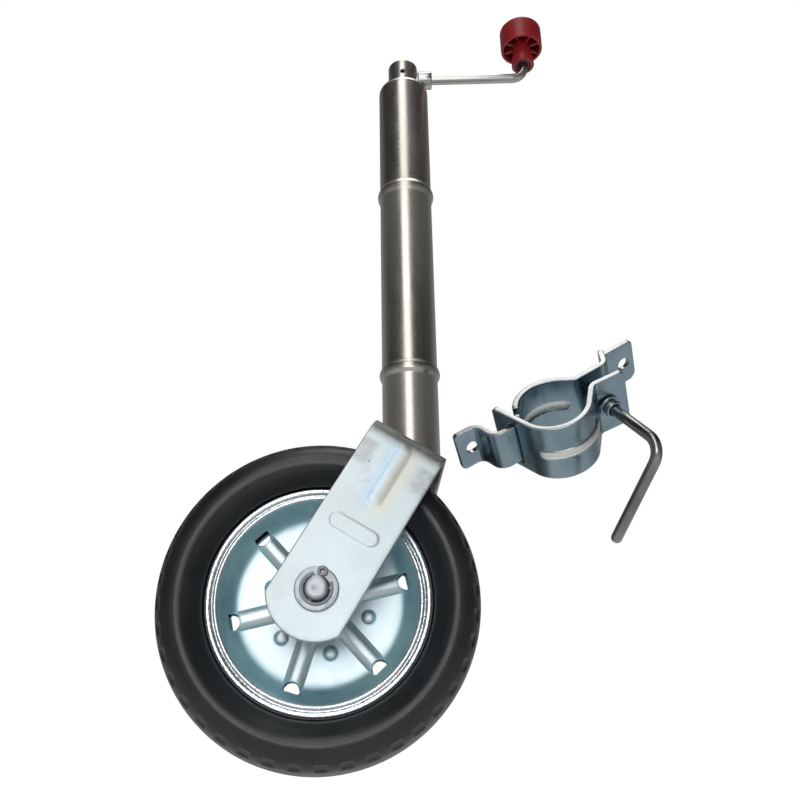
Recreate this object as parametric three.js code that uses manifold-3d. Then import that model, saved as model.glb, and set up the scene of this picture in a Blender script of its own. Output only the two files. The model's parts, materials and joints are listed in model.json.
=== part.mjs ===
// A trailer tongue jack: a screw jack in a round tube, a castor wheel in a bent strap fork,
// and the separate two-piece clamp that holds the tube on a drawbar. Millimetres, +Z up.
// Heights are counted from the floor under the wheel while a piece is shaped. The last lines
// move everything so that the origin lies on the tube's axis, halfway between its two beads.
import * as THREE from 'three';
import { mergeVertices } from 'three/addons/utils/BufferGeometryUtils.js';
import Module from 'manifold-3d';

const wasm = await Module();
wasm.setup();

const FULL_TURN = 2 * Math.PI;
const BIG = 400; // side of the blocks that trim a piece
const FIT = 0.3; // clearance between two pieces that touch

// Driving dimensions of the jack
const TUBE_RADIUS = 25;
const TUBE_BORE = 22.5;
const TUBE_TOP = 658;
const TUBE_BOTTOM = 270;
const BEADS = [331, 522.5]; // heights of the two rolled beads
const BEAD_RISE = 2.3;
const BEAD_HALF = 7;
const GRIP_HEIGHT = (BEADS[0] + BEADS[1]) / 2;
const SHOULDER_RADIUS = 9;

const CRANK_HEIGHT = 670;
const CRANK_REACH = 127;
const CRANK_TURN = THREE.MathUtils.degToRad(-3.3); // the crank stands a little round from +X
const ROD_RADIUS = 4.6;
const KNOB_BASE = 685.5;
const KNOB_RADIUS = 21.7;
const KNOB_HEIGHT = 52.5;

const WHEEL_RADIUS = 130;
const WHEEL_OFFSET = -77; // the axle trails the tube's axis
const RIM_RADIUS = 89;
const FORK_TILT = THREE.MathUtils.degToRad(31.4);
const FORK_LENGTH = 143; // axle to the top of the crown
const FORK_WIDTH = 65.4;
const FORK_OUTSIDE = 61.4; // wheel's mid-plane to a leg's outer face
const STRAP = 5;
const AXLE_RADIUS = 9.3;
const AXLE_HALF = 70.9;
const SPOKES = 6;

const INNER_TUBE_RADIUS = 19;
const SPINDLE_RADIUS = 8;
const NUT_BOTTOM = 612;

// ---- Geometry helpers -------------------------------------------------------------------

/** A closed geometry as a manifold solid, facing outwards. */
function solid(geometry) {
  const bare = geometry.clone();
  bare.deleteAttribute('normal');
  bare.deleteAttribute('uv');
  const merged = mergeVertices(bare, 1e-4);
  const positions = merged.attributes.position.array;
  const corner = (i) => new THREE.Vector3().fromArray(positions, 3 * i);
  const triangles = [];
  let volume = 0;
  for (let i = 0; i < merged.index.count; i += 3) {
    const [a, b, c] = [0, 1, 2].map((k) => merged.index.getX(i + k));
    if (a === b || b === c || c === a) continue;
    triangles.push([a, b, c]);
    volume += corner(a).dot(corner(b).cross(corner(c)));
  }
  const facing = volume > 0 ? triangles : triangles.map(([a, b, c]) => [a, c, b]);
  return new wasm.Manifold(new wasm.Mesh({
    numProp: 3,
    vertProperties: Float32Array.from(positions),
    triVerts: Uint32Array.from(facing.flat()),
  }));
}

/** A manifold solid back as a three.js geometry. */
function geometryOf(body) {
  const mesh = body.getMesh();
  const geometry = new THREE.BufferGeometry();
  geometry.setAttribute('position', new THREE.BufferAttribute(mesh.vertProperties, 3));
  geometry.setIndex(new THREE.BufferAttribute(mesh.triVerts, 1));
  geometry.computeVertexNormals();
  return geometry;
}

const vec = (x, y, z = 0) => new THREE.Vector3(x, y, z);

/** A profile of [radius, height] points turned about +Z. */
function turned(profile, segments = 24) {
  const points = profile.map(([r, z]) => new THREE.Vector2(r, z));
  return solid(new THREE.LatheGeometry(points, segments).rotateX(Math.PI / 2));
}

/** A plain ring between two heights. */
function ring(inner, outer, low, high, segments = 20) {
  return turned([[inner, low], [outer, low], [outer, high], [inner, high], [inner, low]], segments);
}

/** A plain round bar along +Z. */
function bar(radius, low, high, segments = 16) {
  const geometry = new THREE.CylinderGeometry(radius, radius, high - low, segments);
  return solid(geometry.rotateX(Math.PI / 2).translate(0, 0, (low + high) / 2));
}

/** A box from its two opposite corners. */
function block(low, high) {
  const size = high.map((value, i) => value - low[i]);
  const middle = high.map((value, i) => (value + low[i]) / 2);
  return solid(new THREE.BoxGeometry(...size).translate(...middle));
}

/** A solid moved by a matrix. */
function moved(body, matrix) {
  return solid(geometryOf(body).applyMatrix4(matrix));
}

const turnX = (body, angle) => moved(body, new THREE.Matrix4().makeRotationX(angle));
const turnY = (body, angle) => moved(body, new THREE.Matrix4().makeRotationY(angle));
const turnZ = (body, angle) => moved(body, new THREE.Matrix4().makeRotationZ(angle));
const shift = (body, x, y, z) => moved(body, new THREE.Matrix4().makeTranslation(x, y, z));

/** Points on a circle about a centre in the XY plane, angles in degrees. */
function arcPoints(radius, from, to, steps, centre = vec(0, 0)) {
  return Array.from({ length: steps + 1 }, (_, i) => {
    const angle = THREE.MathUtils.degToRad(from + ((to - from) * i) / steps);
    return vec(centre.x + radius * Math.cos(angle), centre.y + radius * Math.sin(angle));
  });
}

/** A path through corners, each inner corner rounded to a radius. */
function rounded(corners, radius, steps = 4) {
  const path = [corners[0]];
  for (let i = 1; i < corners.length - 1; i += 1) {
    const into = corners[i].clone().sub(corners[i - 1]).normalize();
    const out = corners[i + 1].clone().sub(corners[i]).normalize();
    const turn = into.angleTo(out);
    if (turn < 1e-3) continue;
    const side = out.clone().addScaledVector(into, -out.dot(into)).normalize();
    const start = corners[i].clone().addScaledVector(into, -radius * Math.tan(turn / 2));
    for (let k = 0; k <= steps; k += 1) {
      const angle = (turn * k) / steps;
      const along = radius * Math.sin(angle);
      const across = radius * (1 - Math.cos(angle));
      path.push(start.clone().addScaledVector(into, along).addScaledVector(side, across));
    }
  }
  path.push(corners[corners.length - 1]);
  return path;
}

/** The outline of a strip of even thickness that follows a flat path. */
function stripShape(path, thickness) {
  const left = [];
  const right = [];
  path.forEach((point, i) => {
    const before = path[Math.max(i - 1, 0)];
    const after = path[Math.min(i + 1, path.length - 1)];
    const into = point.clone().sub(before).normalize();
    const out = after.clone().sub(point).normalize();
    const along = into.add(out).normalize();
    const bend = along.dot(after.clone().sub(point).normalize()) || 1;
    const half = thickness / 2 / bend;
    left.push(new THREE.Vector2(point.x - along.y * half, point.y + along.x * half));
    right.unshift(new THREE.Vector2(point.x + along.y * half, point.y - along.x * half));
  });
  return new THREE.Shape([...left, ...right]);
}

/** A shape in the XY plane made into a plate between two heights. */
function plate(shape, low, high, curveSegments = 8) {
  const options = { depth: high - low, bevelEnabled: false, curveSegments };
  return solid(new THREE.ExtrudeGeometry(shape, options).translate(0, 0, low));
}

/** A route whose sections fall exactly on its own points. */
class PointRoute extends THREE.Curve {
  constructor(points) {
    super();
    this.points = points;
  }

  indexAt(u) {
    return Math.round(u * (this.points.length - 1));
  }

  getPointAt(u, target = new THREE.Vector3()) {
    return target.copy(this.points[this.indexAt(u)]);
  }

  getTangentAt(u, target = new THREE.Vector3()) {
    const i = this.indexAt(u);
    const point = this.points[i];
    const into = point.clone().sub(this.points[Math.max(i - 1, 0)]).normalize();
    const out = this.points[Math.min(i + 1, this.points.length - 1)].clone().sub(point);
    return target.copy(into.add(out.normalize())).normalize();
  }
}

/** A bent round rod along a list of points. */
function rod(points, radius, sides = 12) {
  const section = new THREE.Shape(arcPoints(radius, 0, 360 - 360 / sides, sides - 1));
  const options = {
    steps: points.length - 1,
    bevelEnabled: false,
    extrudePath: new PointRoute(points),
  };
  return solid(new THREE.ExtrudeGeometry(section, options));
}

/** An open snap ring, its gap turned towards an angle in degrees. */
function snapRing(inner, outer, low, high, gap, towards) {
  const path = arcPoints((inner + outer) / 2, towards + gap / 2, towards + 360 - gap / 2, 20);
  return plate(stripShape(path, outer - inner), low, high);
}

// ---- Materials --------------------------------------------------------------------------

const finish = (color, roughness, metalness) =>
  new THREE.MeshStandardMaterial({ color, roughness, metalness });
const SATIN_TUBE = finish(0x8f8a82, 0.42, 1);
const BRIGHT_STEEL = finish(0xc9ccce, 0.22, 1);
const ZINC_FORK = finish(0xb9c4c9, 0.38, 1);
const ZINC_RIM = finish(0xc4d2d6, 0.22, 1);
const ZINC_CLAMP = finish(0x8d9cab, 0.3, 1);
const DARK_STEEL = finish(0x565a5e, 0.45, 1);
const BLACK_RUBBER = finish(0x16181b, 0.5, 0);
const RED_PLASTIC = finish(0x7f1f22, 0.4, 0);
const BLACK_NYLON = finish(0x24262a, 0.5, 0);
const BRASS = finish(0xb08d4a, 0.35, 1);

/** Adds one named piece to a group. */
function piece(group, name, body, material) {
  const mesh = new THREE.Mesh(geometryOf(body), material);
  mesh.name = name;
  group.add(mesh);
}

// ---- The tube and what stays still in it --------------------------------------------------

/** The rolled bead's half-round swelling in the tube's outline. */
function beadProfile(height) {
  return [-1, -0.5, 0, 0.5, 1].map((k) => [
    TUBE_RADIUS + BEAD_RISE * Math.cos((k * Math.PI) / 2),
    height + BEAD_HALF * k,
  ]);
}

/** A quarter round from the outside of the tube over to its flat top. */
function shoulderProfile(radius) {
  const centre = vec(TUBE_RADIUS - SHOULDER_RADIUS, TUBE_TOP - SHOULDER_RADIUS);
  return arcPoints(radius, 0, 90, 3, centre).map((point) => [point.x, point.y]);
}

function outerTube() {
  const wall = TUBE_RADIUS - TUBE_BORE;
  const hole = SPINDLE_RADIUS + 1;
  return turned([
    [TUBE_BORE, TUBE_BOTTOM], [TUBE_RADIUS, TUBE_BOTTOM],
    ...beadProfile(BEADS[0]), ...beadProfile(BEADS[1]),
    ...shoulderProfile(SHOULDER_RADIUS),
    [hole, TUBE_TOP], [hole, TUBE_TOP - wall],
    ...shoulderProfile(SHOULDER_RADIUS - wall).reverse(),
    [TUBE_BORE, TUBE_BOTTOM],
  ], 28);
}

const GUIDE_BAR = { half: 3, inner: 19.6, outer: 22, low: 290, high: 642 };

function guideBar() {
  const { half, inner, outer, low, high } = GUIDE_BAR;
  const outline = new THREE.Shape([
    vec(-half, inner), vec(half, inner), vec(half, outer - 0.6),
    vec(half - 0.6, outer), vec(-half + 0.6, outer), vec(-half, outer - 0.6),
  ]);
  return plate(outline, low, high);
}

function lowerBush() {
  const inner = INNER_TUBE_RADIUS + FIT;
  return ring(inner, TUBE_BORE - FIT, TUBE_BOTTOM + 1, TUBE_BOTTOM + 18);
}

function thrustBearing() {
  const [inner, outer, low, high] = [8.4, 16, 649.6, 655.1];
  const [groove, seam] = [14.8, 0.5];
  const middle = (low + high) / 2;
  return turned([
    [inner, low], [outer, low], [outer, middle - seam], [groove, middle - seam],
    [groove, middle + seam], [outer, middle + seam], [outer, high], [inner, high], [inner, low],
  ], 20);
}

function tubeGroup() {
  const group = new THREE.Group();
  piece(group, 'outer_tube', outerTube(), SATIN_TUBE);
  piece(group, 'nut_guide_bar', guideBar(), DARK_STEEL);
  piece(group, 'lower_guide_bush', lowerBush(), BLACK_NYLON);
  piece(group, 'thrust_bearing', thrustBearing(), BRIGHT_STEEL);
  return group;
}

// ---- Crank, spindle and knob --------------------------------------------------------------

const HEAD_RADIUS = 15;
const HEAD_TOP = 686;
const HEAD_BOTTOM = 658.4;
const NECK_RADIUS = 7;
const PIN_RADIUS = 2;

/** A round bar along +Y or +X at crank height, for a bore or a pin. */
const acrossY = (radius, half) => shift(turnX(bar(radius, -half, half, 12), Math.PI / 2), 0, 0, CRANK_HEIGHT);
const alongX = (radius, from, to) => shift(turnY(bar(radius, from, to, 16), Math.PI / 2), 0, 0, CRANK_HEIGHT);

function crankHead() {
  const body = turned([
    [0, HEAD_BOTTOM], [HEAD_RADIUS - 0.6, HEAD_BOTTOM], [HEAD_RADIUS, HEAD_BOTTOM + 0.6],
    [HEAD_RADIUS, HEAD_TOP - 2.5], [HEAD_RADIUS - 0.8, HEAD_TOP - 0.9], [HEAD_RADIUS - 2.8, HEAD_TOP],
    [0, HEAD_TOP + 0.8],
  ], 24);
  return body
    .subtract(bar(NECK_RADIUS + FIT, HEAD_BOTTOM - 1, 682, 20))
    .subtract(alongX(ROD_RADIUS + FIT, -10, 20))
    .subtract(acrossY(PIN_RADIUS + FIT, 20));
}

function headPin() {
  const half = HEAD_RADIUS - 0.6;
  return acrossY(PIN_RADIUS, half).subtract(acrossY(PIN_RADIUS - 0.7, half + 1));
}

function crankSocket() {
  const sleeve = ring(ROD_RADIUS + FIT, 9.1, 15.3, 30);
  return shift(turnY(sleeve, Math.PI / 2), 0, 0, CRANK_HEIGHT);
}

function crankRod() {
  const corners = [
    vec(-9, 0, CRANK_HEIGHT), vec(CRANK_REACH, 0, CRANK_HEIGHT),
    vec(CRANK_REACH, 0, KNOB_BASE + 41),
  ];
  return rod(rounded(corners, 13, 6), ROD_RADIUS).subtract(acrossY(PIN_RADIUS + FIT, 20));
}

function spindle() {
  const [foot, root, pitch] = [390, SPINDLE_RADIUS - 0.9, 4];
  const threads = 3; // the turns nearest the foot are shaped; the rest is plain bar
  const profile = [[0, foot], [root - 1, foot], [root, foot + 1]];
  for (let i = 0; i < threads; i += 1) {
    const low = foot + 2 + i * pitch;
    profile.push([SPINDLE_RADIUS, low + 0.8], [SPINDLE_RADIUS, low + 2], [root, low + 2.8]);
  }
  profile.push([root, foot + 2 + threads * pitch], [SPINDLE_RADIUS, foot + 4 + threads * pitch]);
  profile.push([SPINDLE_RADIUS, 657.6], [NECK_RADIUS, 657.8], [NECK_RADIUS, 681], [0, 681]);
  return turned(profile, 16)
    .subtract(alongX(ROD_RADIUS + FIT, -10, 10))
    .subtract(acrossY(PIN_RADIUS + FIT, 10));
}

/** The hollow head: an outer skirt, a stem and eight webs between them. */
function knob() {
  const [bore, stem, skirt] = [7.9, 9.4, 18.9];
  const [rim, roof] = [22, 46];
  const body = turned([
    [0, roof - 1], [bore, roof - 1], [bore, 0], [11.8, 0], [11.2, 9], [9.8, 16], [stem, rim],
    [stem, roof], [skirt, roof], [skirt, rim], [KNOB_RADIUS, rim], [KNOB_RADIUS, 47],
    [KNOB_RADIUS - 1.6, 50.6], [KNOB_RADIUS - 5, KNOB_HEIGHT - 0.4], [0, KNOB_HEIGHT],
  ], 24);
  const web = block([stem - 0.8, -1, rim + 3], [skirt + 0.8, 1, roof + 0.8]);
  const webs = Array.from({ length: 8 }, (_, i) => turnZ(web, ((i + 0.5) * FULL_TURN) / 8));
  return webs.reduce((whole, next) => whole.add(next), body);
}

function crankGroup() {
  const group = new THREE.Group();
  group.rotation.z = CRANK_TURN;
  piece(group, 'crank_head', crankHead(), BRIGHT_STEEL);
  piece(group, 'head_roll_pin', headPin(), DARK_STEEL);
  piece(group, 'crank_socket', crankSocket(), BRIGHT_STEEL);
  piece(group, 'crank_rod', crankRod(), BRIGHT_STEEL);
  piece(group, 'spindle', spindle(), BRIGHT_STEEL);
  piece(group, 'spindle_collar', ring(SPINDLE_RADIUS + FIT, 15.8, 643, 649.2), DARK_STEEL);
  const top = new THREE.Group();
  top.position.set(CRANK_REACH, 0, KNOB_BASE);
  const clip = ring(ROD_RADIUS + FIT, 7.4, 37.4, 38.8);
  piece(top, 'knob_clip', clip, DARK_STEEL);
  piece(top, 'knob_bush', ring(ROD_RADIUS + FIT, 7.6, 1, 37), BLACK_NYLON);
  piece(top, 'knob', knob(), RED_PLASTIC);
  group.add(top);
  return group;
}

// ---- The nut, the inner tube and the swivelling fork --------------------------------------

const SPIGOT_RADIUS = 11.2;
const INNER_TUBE_TOP = NUT_BOTTOM - 3;

function spindleNut() {
  const bore = SPINDLE_RADIUS + FIT;
  const high = NUT_BOTTOM + 24;
  const notch = block([-3.4, GUIDE_BAR.inner - 0.4, 500], [3.4, 30, 700]);
  return turned([
    [bore, 598], [SPIGOT_RADIUS, 598], [SPIGOT_RADIUS, 600.4], [9.9, 600.4], [9.9, 603.6],
    [SPIGOT_RADIUS, 603.6], [SPIGOT_RADIUS, NUT_BOTTOM], [21.9, NUT_BOTTOM], [21.9, high - 1],
    [20.9, high], [bore, high], [bore, 598],
  ], 24).subtract(notch);
}

/** Everything on the wheel's side of the crown's upper face, with some clearance. */
function belowCrown(clearance) {
  const half = BIG / 2;
  const slab = block([-half, -half, -BIG], [half, half, FORK_LENGTH + clearance]);
  return shift(turnY(slab, FORK_TILT), WHEEL_OFFSET, 0, WHEEL_RADIUS);
}

function innerTube() {
  const [bore, lip] = [16, SPIGOT_RADIUS + 0.4];
  return turned([
    [bore, 200], [INNER_TUBE_RADIUS, 200], [INNER_TUBE_RADIUS, INNER_TUBE_TOP],
    [lip, INNER_TUBE_TOP], [lip, INNER_TUBE_TOP - 5], [bore, INNER_TUBE_TOP - 5], [bore, 200],
  ], 24).subtract(belowCrown(FIT));
}

function forkSocket() {
  const sleeve = ring(INNER_TUBE_RADIUS + FIT, TUBE_RADIUS, 200, TUBE_BOTTOM - 0.4, 28);
  return sleeve.subtract(belowCrown(FIT));
}

const LEG_MIDDLE = FORK_OUTSIDE - STRAP / 2;
const LEG_END_RADIUS = 38.6;

/** A round bar along +Y through the axle. */
const axleBar = (radius, half, segments) => turnX(bar(radius, -half, half, segments), Math.PI / 2);

/** The strap bent over the wheel: its outline is drawn in Y and Z and carried along X. */
function bentStrap() {
  const top = FORK_LENGTH - STRAP / 2;
  const foot = -LEG_END_RADIUS - 1;
  const corners = [
    vec(-LEG_MIDDLE, foot), vec(-LEG_MIDDLE, top), vec(LEG_MIDDLE, top), vec(LEG_MIDDLE, foot),
  ];
  const outline = stripShape(rounded(corners, 9.5, 6), STRAP);
  const turnAxes = new THREE.Matrix4().makeBasis(vec(0, 1, 0), vec(0, 0, 1), vec(1, 0, 0));
  return moved(plate(outline, -FORK_WIDTH / 2, FORK_WIDTH / 2), turnAxes);
}

/** The pressed rib down the middle of one leg; side is -1 for the near leg. */
function legRib(side) {
  const [radius, low, high] = [5, 82, 128];
  const middle = FORK_OUTSIDE - 2.6;
  const ball = (z) => solid(new THREE.SphereGeometry(radius, 12, 8).translate(0, side * middle, z));
  const body = shift(bar(radius, low, high, 12), 0, side * middle, 0).add(ball(low)).add(ball(high));
  const [near, far] = [FORK_OUTSIDE - 1, FORK_OUTSIDE + 10];
  const outside = side < 0 ? block([-9, -far, 0], [9, -near, BIG]) : block([-9, near, 0], [9, far, BIG]);
  return body.intersect(outside);
}

/** A plain raised panel with round ends, low on the near leg. */
function legPanel() {
  const [half, radius, height, rise] = [21, 6, 53, 0.7];
  const outline = new THREE.Shape([
    ...arcPoints(radius, -90, 90, 6, vec(half - radius, 0)),
    ...arcPoints(radius, 90, 270, 6, vec(radius - half, 0)),
  ]);
  const raised = turnX(plate(outline, FORK_OUTSIDE - 1, FORK_OUTSIDE + rise), Math.PI / 2);
  return shift(raised, 0, 0, height);
}

function fork() {
  const half = BIG / 2;
  const above = block([-half, -half, 0], [half, half, BIG]);
  const leg = above.add(axleBar(LEG_END_RADIUS, half, 40));
  const strap = bentStrap().intersect(leg).subtract(axleBar(AXLE_RADIUS + 0.4, half, 24));
  return strap.add(legRib(-1)).add(legRib(1)).add(legPanel());
}

const CLIP_FROM = 64.7; // a snap ring's inner face, from the wheel's mid-plane
const CLIP_TO = 66;

/** The axle is shaped along +Z, which the wheel's group lays along +Y. */
function axle() {
  const groove = AXLE_RADIUS - 1;
  const end = (s) => [
    [AXLE_RADIUS, s * (CLIP_FROM - FIT)], [groove, s * (CLIP_FROM - FIT)],
    [groove, s * (CLIP_TO + FIT)], [AXLE_RADIUS, s * (CLIP_TO + FIT)],
    [AXLE_RADIUS, s * (AXLE_HALF - 0.9)], [AXLE_RADIUS - 0.9, s * AXLE_HALF], [0, s * AXLE_HALF],
  ];
  return turned([...end(-1).reverse(), ...end(1)], 20);
}

/** A ring between two distances from the wheel's mid-plane, on one side of it. */
function sideRing(inner, outer, near, far, side) {
  const [low, high] = side < 0 ? [-far, -near] : [near, far];
  return ring(inner, outer, low, high);
}

/** Pieces on the axle, shaped along +Z and laid along +Y: side -1 is the near side. */
const SIDES = [['near', -1], ['far', 1]];

/** A group at the axle whose +Z lies along the jack's +Y. */
function axleFrame() {
  const group = new THREE.Group();
  group.position.set(WHEEL_OFFSET, 0, WHEEL_RADIUS);
  group.rotation.x = -Math.PI / 2;
  return group;
}

function swivelGroup() {
  const group = new THREE.Group();
  const washer = ring(SPIGOT_RADIUS + 0.4, 18.8, INNER_TUBE_TOP + FIT, NUT_BOTTOM - FIT);
  piece(group, 'swivel_washer', washer, BRASS);
  piece(group, 'inner_tube', innerTube(), BRIGHT_STEEL);
  piece(group, 'fork_socket', forkSocket(), SATIN_TUBE);
  const leaning = new THREE.Group();
  leaning.position.set(WHEEL_OFFSET, 0, WHEEL_RADIUS);
  leaning.rotation.y = FORK_TILT;
  piece(leaning, 'fork', fork(), ZINC_FORK);
  group.add(leaning);
  const onAxle = axleFrame();
  piece(onAxle, 'axle', axle(), BRIGHT_STEEL);
  for (const [label, side] of SIDES) {
    const washerFrom = FORK_OUTSIDE + FIT;
    const outer = sideRing(AXLE_RADIUS + FIT, 16.8, washerFrom, CLIP_FROM - FIT, side);
    piece(onAxle, `axle_washer_${label}`, outer, ZINC_FORK);
    const [low, high] = side < 0 ? [-CLIP_TO, -CLIP_FROM] : [CLIP_FROM, CLIP_TO];
    const clip = snapRing(AXLE_RADIUS - 0.7, 12.6, low, high, 70, -70);
    piece(onAxle, `axle_clip_${label}`, clip, DARK_STEEL);
    const spacer = sideRing(AXLE_RADIUS + FIT, 14.5, 50.4, FORK_OUTSIDE - STRAP - FIT, side);
    piece(onAxle, `hub_spacer_${label}`, spacer, BRIGHT_STEEL);
  }
  group.add(onAxle);
  return group;
}

function ramGroup() {
  const group = new THREE.Group();
  piece(group, 'spindle_nut', spindleNut(), BRASS);
  piece(group, 'swivel_snap_ring', snapRing(10.2, 15.2, 600.7, 603.3, 50, 90), DARK_STEEL);
  return group;
}

// ---- The wheel ----------------------------------------------------------------------------

const HUB_RADIUS = 15;
const SHEET = 2.4;
const FIRST_SPOKE = THREE.MathUtils.degToRad(12.7);
const RIVET_CIRCLE = 41;
const RIVET_SHANK = 2.6;
const FACE_RADIUS = 69.5; // where the flat face turns up into the wall

/** The window at the outer end of a spoke: round towards the hub, straight at the wall. */
function windowCutter() {
  return shift(bar(6.6, -1, 30, 14), 72, 0, 0).intersect(block([60, -10, -2], [74.4, 10, 31]));
}

/** The pressed half of the rim, from the hub out to the rolled lip; z is away from the middle. */
function rimHalf() {
  const middle = rounded([
    vec(HUB_RADIUS + FIT, 1.5), vec(FACE_RADIUS, 1.5), vec(75.6, 12), vec(80.6, 21.5), vec(84.5, 20.2),
    vec(RIM_RADIUS - 0.4, 21),
  ], 3, 1);
  const outline = stripShape(middle, SHEET).getPoints().map((point) => [point.x, point.y]);
  const body = turned([...outline, outline[0]], 32);
  const [radius, from, to] = [6.6, 24, 66];
  const ridge = turnY(bar(radius, from, to, 10), Math.PI / 2);
  const over = block([0, -20, SHEET], [BIG, 20, 20]);
  const lowered = shift(ridge, 0, 0, -0.6).intersect(over);
  const angles = Array.from({ length: SPOKES }, (_, i) => (i * FULL_TURN) / SPOKES);
  const ridged = angles.reduce((whole, angle) => whole.add(turnZ(lowered, angle)), body);
  return angles.reduce((whole, angle) => whole.subtract(turnZ(windowCutter(), angle)), ridged);
}

function rivet() {
  const [head, low, high] = [5.6, SHEET + 2 * FIT, 3.6];
  const dome = [[head, low], [head - 0.8, low + 1.4], [head - 2.8, low + 2.5], [0, low + high - 0.6]];
  const mirrored = dome.map(([r, z]) => [r, -z]).reverse();
  return turned([...mirrored, [RIVET_SHANK, -low], [RIVET_SHANK, low], ...dome], 10);
}

/** Cuts the holes that the rivets pass through. */
function drilled(body) {
  const hole = bar(RIVET_SHANK + FIT, -10, 10, 8);
  let result = body;
  for (let i = 0; i < SPOKES; i += 1) {
    result = result.subtract(rivetPlace(hole, i));
  }
  return result;
}

function rivetPlace(body, i) {
  const angle = FULL_TURN / SPOKES / 2 + (i * FULL_TURN) / SPOKES;
  return turnZ(shift(body, RIVET_CIRCLE, 0, 0), angle);
}

function tyre() {
  const half = [
    [77, 11], [81.4, 18.3], [90, 18.3], [91, 22.5], [93.6, 27], [99, 34], [106, 37.6],
    [113, 36.4], [120, 32.4], [126, 24.5], [129, 14],
  ];
  const mirrored = half.map(([r, z]) => [r, -z]).reverse();
  return turned([...half, [WHEEL_RADIUS, 0], ...mirrored, half[0]], 40);
}

function wheelGroup() {
  // +Z of this group is the jack's +Y, so a turn seen from the near side runs the other way
  const group = axleFrame();
  piece(group, 'hub_tube', ring(12.6, HUB_RADIUS, -50, 50), BRIGHT_STEEL);
  for (const [label, side] of SIDES) {
    const bush = sideRing(AXLE_RADIUS + FIT, 12.3, 22, 49.6, side);
    piece(group, `hub_bush_${label}`, bush, BLACK_NYLON);
    const half = turnZ(drilled(rimHalf()), FIRST_SPOKE);
    const facing = side < 0 ? turnX(half, Math.PI) : turnZ(half, -2 * FIRST_SPOKE);
    piece(group, `rim_half_${label}`, facing, ZINC_RIM);
  }
  for (let i = 0; i < SPOKES; i += 1) {
    piece(group, `rim_rivet_${i + 1}`, turnZ(rivetPlace(rivet(), i), -FIRST_SPOKE), ZINC_RIM);
  }
  piece(group, 'tyre', tyre(), BLACK_RUBBER);
  return group;
}

// ---- The clamp ----------------------------------------------------------------------------
// Its own frame: the ring's axis is +Z, the mounting ears lie along X, +Y is the drawbar side.

const CLAMP_SHEET = 4.8;
const CLAMP_RING = 27.6; // radius to the middle of the sheet
const CLAMP_HALF = 25; // half the height of the strap
const TAB_HALF = 17.5;
const EAR_HALF = 18.5;
const EAR_LINE = 27.6; // middle of the ears' sheet, behind the ring's centre
const BACK_FLANGE = 10.7;
const FRONT_FLANGE = 1.8;
const TAB_LINE = 5.5;
const SCREW_X = 44;
const SCREW_RADIUS = 4.3;
const HINGE = vec(-31, TAB_LINE, 0); // where the front half rocks on the back half's tab
const HOOK_END = vec(-38, 26); // the free end of the front half's side wall
const OPEN_ANGLE = THREE.MathUtils.degToRad(5.6);

/** A half-round band that stands out of the ring's outside, at half height. */
function clampBead(rise, boxLow, boxHigh) {
  const outer = CLAMP_RING + CLAMP_SHEET / 2;
  const band = turned([
    [outer - 1, -3.4], [outer, -3.4], [outer + rise * 0.8, -2], [outer + rise, 0], [outer + rise * 0.8, 2],
    [outer, 3.4], [outer - 1, 3.4], [outer - 1, -3.4],
  ], 36);
  return band.intersect(block(boxLow, boxHigh));
}

/** A hole through the clamp's sheet along Y, stretched along X when slotted. */
function clampHole(x, radius, stretch = 1) {
  const drill = turnX(bar(radius, -60, 60, 16), Math.PI / 2);
  return shift(moved(drill, new THREE.Matrix4().makeScale(stretch, 1, 1)), x, 0, 0);
}

/** Where a straight flange leaves the ring as a tangent, in degrees round the ring. */
function tangentAngle(x, y) {
  const reach = Math.hypot(x, y);
  return THREE.MathUtils.radToDeg(Math.acos(CLAMP_RING / reach));
}

function clampBack() {
  const [left, right] = [-74, 95];
  const flangeFrom = vec(30, BACK_FLANGE);
  const slope = THREE.MathUtils.radToDeg(Math.atan2(flangeFrom.y, flangeFrom.x));
  const leave = slope + tangentAngle(flangeFrom.x, flangeFrom.y);
  const meet = 180 - THREE.MathUtils.radToDeg(Math.asin(TAB_LINE / CLAMP_RING));
  const ringPart = arcPoints(CLAMP_RING, meet, leave, 12);
  const earSide = rounded([
    vec(left, EAR_LINE), vec(-55, EAR_LINE), vec(-49, TAB_LINE), ringPart[0],
  ], 6, 4);
  const flangeSide = rounded([
    ringPart.at(-1), flangeFrom, vec(58, BACK_FLANGE), vec(66, EAR_LINE), vec(right, EAR_LINE),
  ], 4, 3);
  const path = [...earSide, ...ringPart.slice(1, -1), ...flangeSide];
  const strap = plate(stripShape(path, CLAMP_SHEET), -CLAMP_HALF, CLAMP_HALF);
  const trim = (x0, x1, half) => block([x0, -60, half], [x1, 60, BIG])
    .add(block([x0, -60, -BIG], [x1, 60, -half]));
  const corner = turnY(block([-14, -60, -30], [14, 60, 0]), -0.45);
  return strap
    .subtract(trim(-BIG, -23.8, TAB_HALF))
    .subtract(trim(66.5, BIG, EAR_HALF))
    .subtract(shift(corner, left, 0, -TAB_HALF + 1))
    .subtract(shift(turnY(block([0, -60, -30], [30, 60, 30]), 0.7), right - 3, 0, -EAR_HALF))
    .subtract(clampHole(-61.5, 5.2))
    .subtract(clampHole(85, 5.2))
    .subtract(clampHole(SCREW_X, SCREW_RADIUS + 0.9))
    .add(clampBead(1.5, [-26, 12, -6], [19, 60, 6]));
}

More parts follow.
